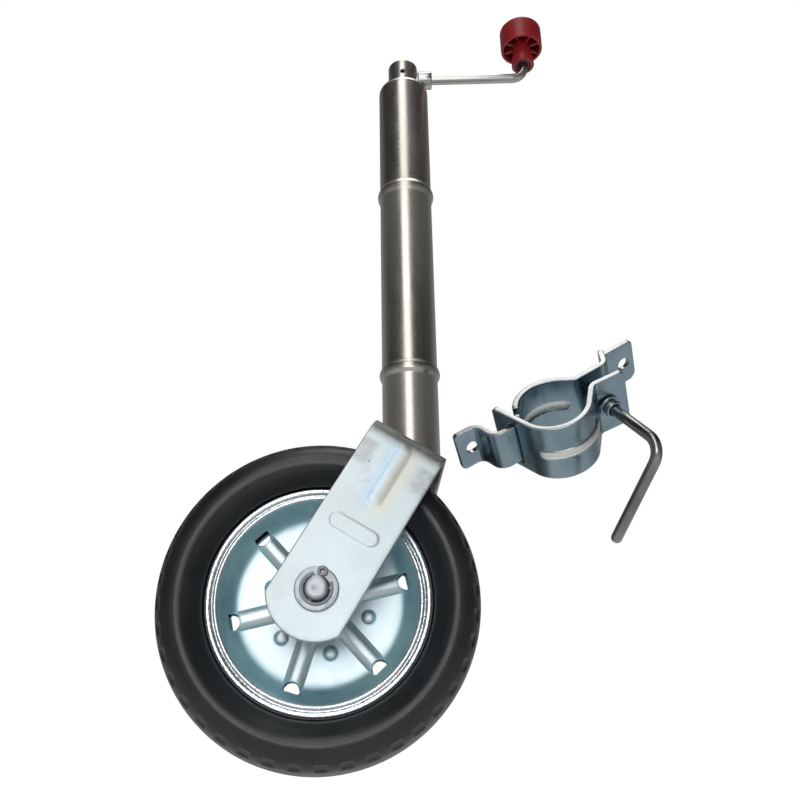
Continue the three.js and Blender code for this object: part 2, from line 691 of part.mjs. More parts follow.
function clampFrontClosed() {
  const flangeFrom = vec(35, FRONT_FLANGE);
  const slope = THREE.MathUtils.radToDeg(Math.atan2(flangeFrom.y, flangeFrom.x));
  const leave = slope - tangentAngle(flangeFrom.x, flangeFrom.y);
  const hookSlope = THREE.MathUtils.radToDeg(Math.atan2(HOOK_END.y, HOOK_END.x));
  const start = hookSlope + tangentAngle(HOOK_END.x, HOOK_END.y) - 360;
  const ringPart = arcPoints(CLAMP_RING, start, leave, 14);
  const flangeSide = rounded([ringPart.at(-1), flangeFrom, vec(62.5, FRONT_FLANGE)], 5, 4);
  const path = [HOOK_END, ...ringPart.slice(0, -1), ...flangeSide];
  const strap = plate(stripShape(path, CLAMP_SHEET), -CLAMP_HALF, CLAMP_HALF);
  const slot = block([-45, TAB_LINE - 4.3, -TAB_HALF - 1], [-22, TAB_LINE + 4.3, TAB_HALF + 1]);
  return strap
    .subtract(slot)
    .subtract(clampHole(SCREW_X, SCREW_RADIUS + 1.2, 1.25))
    .add(clampBead(2.4, [-16, -60, -6], [24, -10, 6]));
}

/** The front half swung open about the tab. */
function clampFront() {
  const swung = turnZ(shift(clampFrontClosed(), -HINGE.x, -HINGE.y, 0), -OPEN_ANGLE);
  return shift(swung, HINGE.x, HINGE.y, 0);
}

/** Six-sided nut behind the back flange. */
function clampNut() {
  const from = BACK_FLANGE + CLAMP_SHEET / 2 + FIT;
  const body = bar(8.4, from, from + 9, 6).subtract(bar(SCREW_RADIUS + FIT, 0, 60, 16));
  return shift(turnX(body, -Math.PI / 2), SCREW_X, 0, 0);
}

const SCREW_REACH = (SCREW_X - HINGE.x) * Math.sin(OPEN_ANGLE);
const WASHER_FACE = FRONT_FLANGE - CLAMP_SHEET / 2 - SCREW_REACH - 1.4;
const ARM_TURN = THREE.MathUtils.degToRad(38.5);
const ARM_LENGTH = 80;

function clampWasher() {
  const body = ring(SCREW_RADIUS + FIT, 9, -WASHER_FACE, -WASHER_FACE + 2);
  return shift(turnX(body, Math.PI / 2), SCREW_X, 0, 0);
}

/** A collar crimped on the rod, which pushes the washer. */
function handleCollar() {
  const from = -WASHER_FACE + 2 + FIT;
  const body = ring(SCREW_RADIUS + FIT, 7, from, from + 5);
  return shift(turnX(body, Math.PI / 2), SCREW_X, 0, 0);
}

function clampHandle() {
  const bendY = -72;
  const arm = vec(-Math.sin(ARM_TURN), 0, -Math.cos(ARM_TURN));
  const corner = vec(SCREW_X, bendY, 0);
  const corners = [
    vec(SCREW_X, 23.2, 0), vec(SCREW_X, 22, 0), corner, corner.clone().addScaledVector(arm, ARM_LENGTH),
  ];
  const body = rod([corners[0], ...rounded(corners.slice(1), 15, 8)], SCREW_RADIUS);
  const tip = corners[3];
  return body.add(solid(new THREE.SphereGeometry(SCREW_RADIUS, 12, 8).translate(tip.x, tip.y, tip.z)));
}

function clampGroup() {
  const group = new THREE.Group();
  group.rotation.set(...[59.3, -16.4, 24.5].map(THREE.MathUtils.degToRad));
  group.position.set(107.6, -89.1, 248.9);
  piece(group, 'clamp_back_half', clampBack(), ZINC_CLAMP);
  piece(group, 'clamp_nut', clampNut(), ZINC_CLAMP);
  piece(group, 'clamp_front_half', clampFront(), ZINC_CLAMP);
  piece(group, 'clamp_washer', clampWasher(), ZINC_CLAMP);
  piece(group, 'handle_collar', handleCollar(), ZINC_CLAMP);
  piece(group, 'clamp_handle', clampHandle(), BRIGHT_STEEL);
  return group;
}

// ---- The whole jack -------------------------------------------------------------------------

const jack = new THREE.Group();
jack.add(tubeGroup(), crankGroup(), ramGroup(), swivelGroup(), wheelGroup(), clampGroup());
jack.position.z = -GRIP_HEIGHT;
jack.updateMatrixWorld(true);

export default jack;
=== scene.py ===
import json
from math import acos, asin, atan2, ceil, cos, degrees, hypot, pi, radians, sin, sqrt, tan

import bpy
import numpy as np
from mathutils import Matrix, Vector
from mathutils.geometry import delaunay_2d_cdt


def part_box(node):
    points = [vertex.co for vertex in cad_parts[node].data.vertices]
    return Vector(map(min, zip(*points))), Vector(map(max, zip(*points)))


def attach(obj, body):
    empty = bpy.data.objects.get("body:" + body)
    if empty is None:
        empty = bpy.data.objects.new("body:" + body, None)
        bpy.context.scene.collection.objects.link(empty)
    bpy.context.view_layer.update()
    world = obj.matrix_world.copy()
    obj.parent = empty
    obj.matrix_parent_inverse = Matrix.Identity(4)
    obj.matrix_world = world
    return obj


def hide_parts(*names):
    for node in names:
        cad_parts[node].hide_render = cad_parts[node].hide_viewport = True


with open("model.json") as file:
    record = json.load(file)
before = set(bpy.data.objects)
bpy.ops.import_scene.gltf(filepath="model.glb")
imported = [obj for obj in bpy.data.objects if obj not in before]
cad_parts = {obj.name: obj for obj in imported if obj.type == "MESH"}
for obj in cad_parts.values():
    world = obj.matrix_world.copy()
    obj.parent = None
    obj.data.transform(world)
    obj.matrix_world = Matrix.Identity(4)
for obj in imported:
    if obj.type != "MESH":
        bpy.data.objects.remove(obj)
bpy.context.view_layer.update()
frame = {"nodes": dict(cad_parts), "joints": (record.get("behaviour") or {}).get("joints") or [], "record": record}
joints = {joint["name"]: joint for joint in frame["joints"]}

# ---- Driving dimensions: millimetres, heights counted from the floor --------------------

MM = 0.001
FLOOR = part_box("tyre")[0].z
TUBE_RADIUS = (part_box("fork_socket")[1].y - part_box("fork_socket")[0].y) / 2 / MM
TUBE_LOW = (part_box("outer_tube")[0].z - FLOOR) / MM
TUBE_TOP = (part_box("outer_tube")[1].z - FLOOR) / MM
TUBE_WALL = 2.5
SHOULDER = 9.0
BEADS = (331.0, 522.5)
BEAD_RISE = 2.3

knob_axis = Vector(joints["knob_spin"]["pos_m"])
CRANK_REACH = hypot(knob_axis.x, knob_axis.y) / MM
CRANK_TURN = atan2(knob_axis.y, knob_axis.x)
CRANK_HEIGHT = 670.0
ROD_RADIUS = 4.6
HEAD_RADIUS = 15.0
KNOB_BASE = (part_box("knob")[0].z - FLOOR) / MM

wheel_centre = Vector(joints["wheel_spin"]["pos_m"])
WHEEL_RADIUS = (wheel_centre.z - FLOOR) / MM
RIM_RADIUS = 88.6
SHEET = 2.4
SPOKES = 6
FIRST_SPOKE = radians(12.7)
RIVET_CIRCLE = 41.0

FORK_TILT = radians(31.4)
FORK_LENGTH = 143.0
FORK_WIDTH = 65.4
FORK_OUTSIDE = 61.4
STRAP = 5.0
LEG_END = 38.6
AXLE_RADIUS = 9.3
AXLE_HALF = (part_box("axle")[1].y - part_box("axle")[0].y) / 2 / MM
INNER_RADIUS = 19.0

CLAMP_SHEET = 4.8
CLAMP_RING = 27.6
CLAMP_HALF = 25.0
SCREW_X = 44.0
SCREW_RADIUS = 4.3
OPEN_ANGLE = radians(5.6)

# The air left between a piece and what it fits in or against
FIT = 0.3

# ---- Places: matrices from millimetres to the row frame ---------------------------------

SCALE = Matrix.Scale(MM, 4)
STANDING = Matrix.Translation((0, 0, FLOOR)) @ SCALE
CRANK = STANDING @ Matrix.Rotation(CRANK_TURN, 4, "Z")
KNOB = CRANK @ Matrix.Translation((CRANK_REACH, 0, KNOB_BASE))
# +Z of the wheel's place is the jack's +Y, away from the camera
WHEEL = Matrix.Translation(wheel_centre) @ Matrix.Rotation(-pi / 2, 4, "X") @ SCALE
LEANING = Matrix.Translation(wheel_centre) @ Matrix.Rotation(FORK_TILT, 4, "Y") @ SCALE

ring_axis = Vector(joints["clamp_front_swing"]["axis"])
screw_axis = Vector(joints["clamp_screw_travel"]["axis"])
ear_axis = screw_axis.cross(ring_axis)
clamp_centre = Vector(joints["clamp_handle_turn"]["pos_m"]) - ear_axis * SCREW_X * MM
clamp_axes = Matrix((ear_axis, screw_axis, ring_axis)).transposed().to_4x4()
CLAMP = Matrix.Translation(clamp_centre) @ clamp_axes @ SCALE
# Local +Z along the clamp's +Y, for what turns about the screw
SCREW = CLAMP @ Matrix.Translation((SCREW_X, 0, 0)) @ Matrix.Rotation(-pi / 2, 4, "X")

# ---- Outlines ---------------------------------------------------------------------------


def arc(radius, start, end, steps, centre=(0.0, 0.0)):
    """Points on a circle, angles in degrees."""
    angles = [radians(start + (end - start) * i / steps) for i in range(steps + 1)]
    return [(centre[0] + radius * cos(a), centre[1] + radius * sin(a)) for a in angles]


def rounded(corners, radii, closed=True, steps=5):
    """A flat outline, or a path in space, with each corner rounded; radii is one number, or one for each."""
    count = len(corners)
    if not hasattr(radii, "__len__"):
        radii = [radii] * count
    points = []
    for i, corner in enumerate(corners):
        if not closed and i in (0, count - 1):
            points.append(tuple(corner))
            continue
        here = Vector(corner)
        into = here - Vector(corners[i - 1])
        out = Vector(corners[(i + 1) % count]) - here
        ahead = into.normalized()
        turn = into.angle(out)
        if turn < 0.01 or radii[i] <= 0:
            points.append(tuple(corner))
            continue
        reach = min(radii[i] * tan(turn / 2), 0.49 * into.length, 0.49 * out.length)
        radius = reach / tan(turn / 2)
        side = (out.normalized() - ahead * out.normalized().dot(ahead)).normalized()
        centre = here - ahead * reach + side * radius
        for k in range(steps + 1):
            angle = turn * k / steps
            points.append(tuple(centre - side * radius * cos(angle) + ahead * radius * sin(angle)))
    return points


def resampled(path, step, closed=True):
    """A path with no stretch longer than a step."""
    points = []
    for a, b in zip(path, path[1:] + path[:1] if closed else path[1:]):
        a, b = Vector(a), Vector(b)
        count = max(1, ceil((b - a).length / step))
        points += [tuple(a.lerp(b, k / count)) for k in range(count)]
    return points if closed else points + [tuple(path[-1])]


def spline(points, per=6):
    """A smooth open curve through the points."""
    points = [Vector(p) for p in points]
    out = []
    for i in range(len(points) - 1):
        before = points[max(i - 1, 0)]
        a, b = points[i], points[i + 1]
        after = points[min(i + 2, len(points) - 1)]
        for k in range(per):
            t = k / per
            out.append(tuple(
                0.5 * (2 * a + (b - before) * t + (2 * before - 5 * a + 4 * b - after) * t ** 2
                       + (3 * a - before - 3 * b + after) * t ** 3)
            ))
    return out + [tuple(points[-1])]


def spun(points, angle):
    """Flat points turned about the origin."""
    c, s = cos(angle), sin(angle)
    return [(x * c - y * s, x * s + y * c) for x, y in points]


def mirrored(half):
    """A profile's other half, on the far side of height 0."""
    return [(radius, -height) for radius, height in reversed(half)]


# ---- Mesh makers: each gives (points, faces) in millimetres ------------------------------


def woven(rows, closed=True):
    """Faces between rows of point numbers; a number that comes twice makes a triangle."""
    faces = []
    for low, high in zip(rows, rows[1:] + rows[:1] if closed else rows[1:]):
        for i in range(len(low)):
            j = (i + 1) % len(low)
            corners = tuple(dict.fromkeys((low[i], low[j], high[j], high[i])))
            if len(corners) > 2:
                faces.append(corners)
    return faces


def turned(profile, segments=96):
    """A closed profile of (radius, height) turned about +Z; radius 0 is a pole."""
    points, rows = [], []
    for radius, height in profile:
        if radius < 1e-6:
            rows.append([len(points)] * segments)
            points.append((0.0, 0.0, height))
            continue
        rows.append(list(range(len(points), len(points) + segments)))
        angles = [2 * pi * i / segments for i in range(segments)]
        points += [(radius * cos(a), radius * sin(a), height) for a in angles]
    return points, woven(rows)


def ring(inner, outer, low, high, edge=0.4, segments=96):
    corners = [(inner, low), (outer, low), (outer, high), (inner, high)]
    return turned(rounded(corners, edge, steps=3), segments)


def swept(path, radius, sides=32, tip="flat", edge=0.6):
    """A round rod along a path of 3-D points; its ends are flat with a small round, or domed."""
    path = [Vector(p) for p in path]
    stations = []
    for i, point in enumerate(path):
        before = path[max(i - 1, 0)]
        after = path[min(i + 1, len(path) - 1)]
        stations.append([point, (after - before).normalized(), radius])
    span = radius if tip == "dome" else edge
    start, end = stations[0], stations[-1]
    caps = [[], []]
    for k in range(6):
        angle = pi / 2 * (k + 1) / 6
        size = radius - span + span * cos(angle)
        caps[0].insert(0, [start[0] - start[1] * span * sin(angle), start[1], size])
        caps[1].append([end[0] + end[1] * span * sin(angle), end[1], size])
    stations = caps[0] + stations + caps[1]
    side = stations[0][1].orthogonal().normalized()
    points, rows = [], []
    for point, along, size in stations:
        side = (side - along * side.dot(along)).normalized()
        across = along.cross(side)
        if size < 1e-4:
            rows.append([len(points)] * sides)
            points.append(tuple(point))
            continue
        rows.append(list(range(len(points), len(points) + sides)))
        for i in range(sides):
            a = 2 * pi * i / sides
            points.append(tuple(point + (side * cos(a) + across * sin(a)) * size))
    faces = woven(rows, closed=False)
    if tip == "flat":
        faces.append(tuple(reversed(rows[0])))
        faces.append(tuple(rows[-1]))
    return points, faces


def inset(loop, distance):
    """A closed loop moved towards its left side."""
    count = len(loop)
    result = []
    for i, point in enumerate(loop):
        into = (Vector(point) - Vector(loop[i - 1])).normalized()
        out = (Vector(loop[(i + 1) % count]) - Vector(point)).normalized()
        left_in, left_out = Vector((-into.y, into.x)), Vector((-out.y, out.x))
        middle = (left_in + left_out).normalized()
        result.append(tuple(Vector(point) + middle * distance / max(middle.dot(left_in), 0.5)))
    return result


def inside(points, loop):
    """Which of the points lie inside a closed loop, and how far each is from it."""
    loop = np.array(loop)
    a, b = loop, np.roll(loop, -1, axis=0)
    x, y = points[:, 0][:, None], points[:, 1][:, None]
    crosses = (a[:, 1] > y) != (b[:, 1] > y)
    slope = np.where(b[:, 1] == a[:, 1], 1e-12, b[:, 1] - a[:, 1])
    hit = crosses & (x < (b[:, 0] - a[:, 0]) * (y - a[:, 1]) / slope + a[:, 0])
    edge = b - a
    t = ((x - a[:, 0]) * edge[:, 0] + (y - a[:, 1]) * edge[:, 1]) / np.maximum((edge ** 2).sum(1), 1e-12)
    t = np.clip(t, 0, 1)
    gap = np.hypot(x - a[:, 0] - t * edge[:, 0], y - a[:, 1] - t * edge[:, 1]).min(1)
    return hit.sum(1) % 2 == 1, gap


def in_plate(points, loops):
    """Which points lie in the first loop and in none of its holes, and how far each is from an edge."""
    solid, gap = inside(points, loops[0])
    for hole in loops[1:]:
        within, hole_gap = inside(points, hole)
        solid &= ~within
        gap = np.minimum(gap, hole_gap)
    return solid, gap


def grid(low, high, step_x, step_y):
    """Points on a regular grid."""
    xs = np.linspace(low[0], high[0], max(2, round((high[0] - low[0]) / step_x) + 1))
    ys = np.linspace(low[1], high[1], max(2, round((high[1] - low[1]) / step_y) + 1))
    return np.array([(x, y) for x in xs for y in ys])


def sheet(outline, holes, fill, thickness, place, edge=0.7, clear=0.6, steps=4):
    """A plate cut to an outline with holes, its edges rounded, then bent: place(u, v, n) says
    where a point at (u, v) and height n over the middle of the sheet goes. The outline runs
    anticlockwise and the holes clockwise. fill gives the points inside it."""
    loops = [list(outline)] + [list(h) for h in holes]
    half = thickness / 2
    tops = [inset(loop, edge) for loop in loops]
    solid, gap = in_plate(fill, tops)
    flat = [Vector(p) for loop in tops for p in loop] + [Vector(p) for p in fill[solid & (gap > clear)]]
    edges, first = [], 0
    for loop in tops:
        edges += [(first + i, first + (i + 1) % len(loop)) for i in range(len(loop))]
        first += len(loop)
    verts, _, triangles, origin, _, _ = delaunay_2d_cdt(flat, edges, [], 0, 1e-5)
    index = {}
    for new, olds in enumerate(origin):
        for old in olds:
            index[old] = new
    count = len(verts)
    points = [place(v.x, v.y, half) for v in verts] + [place(v.x, v.y, -half) for v in verts]
    faces = []
    centres = np.array([(verts[a] + verts[b] + verts[c]) / 3 for a, b, c in triangles])
    solid, _ = in_plate(centres, tops)
    for (a, b, c), used in zip(triangles, solid):
        if not used:
            continue
        area = (verts[b] - verts[a]).cross(verts[c] - verts[a])
        if area < 0:
            a, c = c, a
        faces.append((a, b, c))
        faces.append((c + count, b + count, a + count))
    first = 0
    for loop in loops:
        rows = [[index[first + i] for i in range(len(loop))]]
        angles = [pi / 2 * k / steps for k in range(1, steps + 1)]
        levels = [(edge * (1 - sin(a)), half - edge * (1 - cos(a))) for a in angles]
        levels += [(distance, -height) for distance, height in reversed(levels)]
        for distance, height in levels[:-1] if edge > half else levels:
            moved = inset(loop, distance)
            rows.append(list(range(len(points), len(points) + len(loop))))
            points += [place(p[0], p[1], height) for p in moved]
        rows.append([index[first + i] + count for i in range(len(loop))])
        for high, low in zip(rows, rows[1:]):
            for i in range(len(loop)):
                j = (i + 1) % len(loop)
                faces.append((high[i], low[i], low[j], high[j]))
        first += len(loop)
    return [tuple(p) for p in points], faces


def loose(part):
    """A plain object that is not yet in its place, for cutting."""
    mesh = bpy.data.meshes.new("loose")
    mesh.from_pydata([Vector(p) for p in part[0]], [], part[1])
    obj = bpy.data.objects.new("loose", mesh)
    bpy.context.scene.collection.objects.link(obj)
    return obj


def cut(part, *tools):
    """The part with the shapes of the tools taken out of it."""
    objects = [loose(part)] + [loose(tool) for tool in tools]
    for tool in objects[1:]:
        modifier = objects[0].modifiers.new("cut", "BOOLEAN")
        modifier.operation = "DIFFERENCE"
        modifier.solver = "EXACT"
        modifier.object = tool
    result = objects[0].evaluated_get(bpy.context.evaluated_depsgraph_get()).to_mesh()
    points = [tuple(v.co) for v in result.vertices]
    faces = [tuple(p.vertices) for p in result.polygons]
    for obj in objects:
        bpy.data.meshes.remove(obj.data)
    return points, faces


def joined(*parts):
    points, faces = [], []
    for part_points, part_faces in parts:
        shift = len(points)
        points += list(part_points)
        faces += [tuple(i + shift for i in face) for face in part_faces]
    return points, faces


def moved(part, matrix):
    return [tuple(matrix @ Vector(p)) for p in part[0]], part[1]


class Route:
    """A flat path that a strap follows, by the distance along it."""

    def __init__(self, corners):
        self.points = np.array(corners, float)
        steps = np.hypot(*np.diff(self.points, axis=0).T)
        self.at = np.concatenate([[0], np.cumsum(steps)])
        self.length = self.at[-1]
        tangents = np.gradient(self.points, self.at, axis=0)
        self.tangents = tangents / np.hypot(*tangents.T)[:, None]

    def spot(self, s):
        s = min(max(s, 0), self.length)
        x, y = (np.interp(s, self.at, self.points[:, k]) for k in (0, 1))
        tx, ty = (np.interp(s, self.at, self.tangents[:, k]) for k in (0, 1))
        size = hypot(tx, ty)
        return x, y, -ty / size, tx / size

    def where(self, x, from_end=False):
        """The distance along at which the path first reaches x."""
        xs = self.points[:, 0]
        order = range(len(xs) - 1)
        for i in reversed(order) if from_end else order:
            if min(xs[i], xs[i + 1]) <= x <= max(xs[i], xs[i + 1]) and xs[i] != xs[i + 1]:
                t = (x - xs[i]) / (xs[i + 1] - xs[i])
                return self.at[i] + t * (self.at[i + 1] - self.at[i])
        raise ValueError(f"the path never reaches {x}")


# ---- Materials: in their textures and masks, distances are in metres ---------------------


class Shading:
    """A node tree with short ways to add nodes to it."""

    def __init__(self, owner):
        owner.use_nodes = True
        self.nodes = owner.node_tree.nodes
        self.links = owner.node_tree.links
        self.coords = self.nodes.new("ShaderNodeTexCoord").outputs

    def put(self, socket, value):
        """Gives a socket another node's output, or a colour, vector or number."""
        if isinstance(value, bpy.types.NodeSocket):
            self.links.new(value, socket)
        elif socket.type == "RGBA":
            socket.default_value = (*value, 1)
        else:
            socket.default_value = value

    def add(self, kind, inputs, output=0, **settings):
        """The output of a new node; its inputs are given by name or number."""
        node = self.nodes.new("ShaderNode" + kind)
        for name, value in settings.items():
            setattr(node, name, value)
        for name, value in inputs.items():
            self.put(node.inputs[name], value)
        return node.outputs[output]

    def axis(self, name, coords="Object"):
        return self.add("SeparateXYZ", {0: self.coords[coords]}, name)

    def math(self, operation, *values):
        return self.add("Math", dict(enumerate(values)), operation=operation)

    def dot(self, a, b):
        return self.add("VectorMath", {0: a, 1: b}, "Value", operation="DOT_PRODUCT")

    def product(self, first, *others):
        for other in others:
            first = self.math("MULTIPLY", first, other)
        return first

    def length(self, a, b):
        return self.math("SQRT", self.math("ADD", self.product(a, a), self.product(b, b)))

    def blend(self, a, share, b):
        """A share of a, and of b what is left."""
        return self.math("ADD", self.product(a, share), self.product(b, 1 - share))

    def band(self, value, low, high, to_low=0.0, to_high=1.0):
        """A smooth step: to_low under low, to_high over high."""
        inputs = {"Value": value, "From Min": low, "From Max": high, "To Min": to_low, "To Max": to_high}
        return self.add("MapRange", inputs, "Result", interpolation_type="SMOOTHSTEP")

    def between(self, value, rise, fall, top=1.0):
        """Up over the stretch called rise, and down to 0 again over the stretch called fall."""
        return self.product(self.band(value, *rise), self.band(value, *fall, top, 0.0))


class Look(Shading):
    """A material in the object's own coordinates."""

    def __init__(self, name, metallic):
        self.material = bpy.data.materials.new(name)
        super().__init__(self.material)
        self.shader = self.nodes["Principled BSDF"].inputs
        self.put(self.shader["Metallic"], metallic)
        self.bump = None

    def noise(self, scale, detail, roughness, stretch=(1, 1, 1), distortion=0.0):
        where = self.add("Mapping", {"Vector": self.coords["Object"], "Scale": stretch})
        inputs = {"Vector": where, "Scale": scale, "Detail": detail, "Roughness": roughness}
        return self.add("TexNoise", {**inputs, "Distortion": distortion}, "Fac")

    def ramp(self, value, dark, light, start=0.3, end=0.7):
        """The dark colour up to start, the light one from end on."""
        node = self.nodes.new("ShaderNodeValToRGB")
        for element, where, color in zip(node.color_ramp.elements, (start, end), (dark, light)):
            element.position = where
            element.color = (*color, 1)
        self.put(node.inputs["Fac"], value)
        return node.outputs["Color"]

    def mix(self, amount, a, b):
        # A mix node's inputs 6 and 7 and its output 2 are the coloured ones
        return self.add("Mix", {0: amount, 6: a, 7: b}, 2, data_type="RGBA")

    def color(self, value):
        self.put(self.shader["Base Color"], value)

    def dull(self, value):
        self.put(self.shader["Roughness"], value)

    def rough(self, value, low, high):
        self.dull(self.band(value, 0.3, 0.7, low, high))

    def raise_by(self, value, strength, distance):
        """Adds one layer of bump on top of those already there."""
        inputs = {"Strength": strength, "Distance": distance, "Height": value}
        if self.bump is not None:
            inputs["Normal"] = self.bump
        self.bump = self.add("Bump", inputs)
        self.put(self.shader["Normal"], self.bump)

    def from_axle(self):
        """How far a point is from the axle in X and in Z."""
        dx = self.math("SUBTRACT", self.axis("X"), wheel_centre.x)
        dz = self.math("SUBTRACT", self.axis("Z"), wheel_centre.z)
        return dx, dz


def one_noise(name, metallic, texture, dark, light, rough, bump):
    """A look in which one noise gives the colour, the roughness and the bump."""
    look = Look(name, metallic)
    grain = look.noise(*texture)
    look.color(look.ramp(grain, dark, light))
    look.rough(grain, *rough)
    look.raise_by(grain, *bump)
    return look.material


def satin_tube():
    look = Look("satin_tube", 1.0)
    streaks = look.noise(60, 4, 0.6, stretch=(1, 1, 0.04))
    warm = look.ramp(look.noise(14, 3, 0.6), (0.60, 0.56, 0.50), (0.70, 0.675, 0.62))
    drawn = look.ramp(streaks, (0.56, 0.525, 0.47), (0.73, 0.71, 0.66))
    look.color(look.mix(0.5, warm, drawn))
    patches = look.noise(45, 4, 0.65, stretch=(1, 1, 0.5))
    look.rough(look.blend(patches, 0.5, streaks), 0.22, 0.36)
    look.raise_by(look.noise(900, 2, 0.5), 0.10, 0.0002)
    look.raise_by(streaks, 0.05, 0.0004)
    return look.material


def bright_steel():
    look = Look("bright_steel", 1.0)
    clouds = look.noise(40, 2, 0.5)
    look.color(look.ramp(clouds, (0.42, 0.415, 0.40), (0.54, 0.535, 0.52)))
    look.rough(clouds, 0.17, 0.23)
    look.raise_by(look.noise(700, 3, 0.6), 0.01, 0.0002)
    return look.material


def turned_steel():
    """Fine circles left by the lathe on the axle's end."""
    look = Look("turned_steel", 1.0)
    rings = look.math("SINE", look.product(look.length(*look.from_axle()), 9000.0))
    clouds = look.noise(120, 3, 0.6)
    look.color(look.ramp(clouds, (0.22, 0.23, 0.245), (0.50, 0.515, 0.53)))
    look.rough(clouds, 0.26, 0.40)
    look.raise_by(rings, 0.10, 0.00005)
    look.raise_by(clouds, 0.06, 0.0006)
    return look.material


def scratched_plate():
    """A plain washer, greyer than the fork and rubbed by the axle's clip."""
    look = Look("scratched_plate", 1.0)
    scratches = look.noise(90, 5, 0.75, stretch=(1, 1, 0.15))
    look.color(look.ramp(scratches, (0.30, 0.33, 0.34), (0.56, 0.60, 0.61), 0.35, 0.65))
    look.rough(look.noise(800, 3, 0.7), 0.34, 0.48)
    look.raise_by(scratches, 0.1, 0.0006)
    return look.material


def zinc_fork():
    """Pale blue-silver plate, with a painted blue reflection left of the rib and a painted warm cream shade right
    of it; greyer over the crown.
    """
    look = Look("zinc_fork", 1.0)
    dx, dz = look.from_axle()
    up = look.math("ADD", look.product(dx, sin(FORK_TILT)), look.product(dz, cos(FORK_TILT)))
    across = look.math("SUBTRACT", look.product(dx, cos(FORK_TILT)), look.product(dz, sin(FORK_TILT)))
    grain = look.noise(800, 3, 0.7)
    clouds = look.noise(22, 3, 0.6)
    streaks = look.noise(60, 4, 0.65, stretch=(1, 0.08, 1))
    scuffs = look.noise(30, 5, 0.75, distortion=0.6)
    plate = look.ramp(clouds, (0.56, 0.65, 0.67), (0.67, 0.74, 0.74))
    plate = look.mix(look.band(grain, 0.35, 0.65, 0.0, 0.5), plate, (0.80, 0.845, 0.85))
    # Painted light and shade: the rib's left slope is tinted blue as a reflection, its right slope cream as shade
    rib_light_and_shade_span = look.between(up, (0.066, 0.080), (0.128, 0.138))
    left = look.between(across, (-0.016, -0.006), (-0.003, 0.001))
    right = look.between(across, (0.001, 0.004), (0.008, 0.020))
    plate = look.mix(look.product(left, rib_light_and_shade_span, 0.7), plate, (0.54, 0.68, 0.82))
    plate = look.mix(look.product(right, rib_light_and_shade_span, 0.6), plate, (0.76, 0.70, 0.55))
    crown = look.product(look.band(up, 0.124, 0.136), look.band(streaks, 0.3, 0.6, 0.6, 1.0))
    plate = look.mix(crown, plate, (0.33, 0.34, 0.32))
    near_crown = look.band(up, 0.06, 0.13, 0.15, 1.0)
    scuffed = look.product(look.band(scuffs, 0.56, 0.68, 0.0, 0.7), near_crown)
    # Rubbed patches by both edges, a little under the crown
    by_edge = look.band(look.math("ABSOLUTE", across), 0.014, 0.024)
    under_crown = look.between(up, (0.098, 0.106), (0.121, 0.126))
    rubbed = look.product(by_edge, under_crown, look.band(scuffs, 0.36, 0.52, 0.15, 0.8))
    plate = look.mix(look.math("MAXIMUM", scuffed, rubbed), plate, (0.44, 0.45, 0.44))
    spots = look.band(look.noise(150, 1, 0.3), 0.80, 0.83, 0.0, 0.7)
    look.color(look.mix(spots, plate, (0.22, 0.21, 0.2)))
    look.rough(look.blend(grain, 0.6, clouds), 0.38, 0.52)
    look.raise_by(grain, 0.3, 0.0003)
    look.raise_by(clouds, 0.10, 0.002)
    return look.material


def zinc_rim():
    """Pale plate; the steep wall is duller and tinted teal-blue as a painted reflection; bright and faintly
    hammered on the outer lip.
    """
    look = Look("zinc_rim", 1.0)
    dx, dz = look.from_axle()
    far = look.length(dx, dz)
    clouds = look.noise(16, 3, 0.6)
    plate = look.ramp(clouds, (0.67, 0.77, 0.80), (0.78, 0.86, 0.88))
    on_wall = look.between(far, (0.060, 0.072), (0.079, 0.081))
    on_lip = look.band(far, 0.0795, 0.0815)
    # Painted reflection: the steep wall's teal tint stands in for what it mirrors
    painted_wall_reflection = look.ramp(look.noise(26, 3, 0.6), (0.42, 0.72, 0.82), (0.66, 0.97, 1.0), 0.35, 0.65)
    plate = look.mix(look.product(on_wall, 0.85), plate, painted_wall_reflection)
    plate = look.mix(on_lip, plate, (0.90, 0.93, 0.95))
    # Painted shade: a dark ring round each rivet, where its head meets the plate
    angle = look.math("ADD", look.math("ARCTAN2", dz, dx), pi / SPOKES - FIRST_SPOKE)
    beside = look.product(look.math("WRAP", angle, pi / SPOKES, -pi / SPOKES), RIVET_CIRCLE * MM)
    outward = look.math("SUBTRACT", far, RIVET_CIRCLE * MM)
    painted_rivet_shade = look.between(look.length(beside, outward), (0.0038, 0.0048), (0.0060, 0.0072), 0.8)
    look.color(look.mix(painted_rivet_shade, plate, (0.28, 0.47, 0.50)))
    dull = look.math("ADD", look.band(clouds, 0.3, 0.7, 0.36, 0.44), look.product(on_wall, 0.2))
    look.dull(look.math("SUBTRACT", dull, look.product(on_lip, 0.26)))
    look.raise_by(look.product(look.noise(420, 3, 0.7), on_lip), 0.5, 0.0007)
    look.raise_by(look.noise(900, 2, 0.6), 0.06, 0.0002)
    return look.material


def bead_highlight_mask(look, centre, level, rise, start, end):
    """1 on a clamp half's pressed bead, where its painted highlight goes; the bead rises from a level, a radius
    about the ring's axis.
    start and end are places along the ears."""
    spot = look.add("VectorMath", {0: look.coords["Object"], 1: centre}, operation="SUBTRACT")
    height, along, over = [look.dot(spot, axis) for axis in (ring_axis, ear_axis, screw_axis)]
    far = look.length(along, over)
    return look.product(
        look.band(look.math("ABSOLUTE", height), 3.0 * MM, 3.8 * MM, 1.0, 0.0),
        look.band(far, (level + rise * 0.1) * MM, (level + rise * 0.4) * MM),
        look.band(far, (level + rise + 0.5) * MM, (level + rise + 1.1) * MM, 1.0, 0.0),
        look.band(along, (start - 1) * MM, (start + 1) * MM),
        look.band(along, (end - 1) * MM, (end + 1) * MM, 1.0, 0.0),
    )


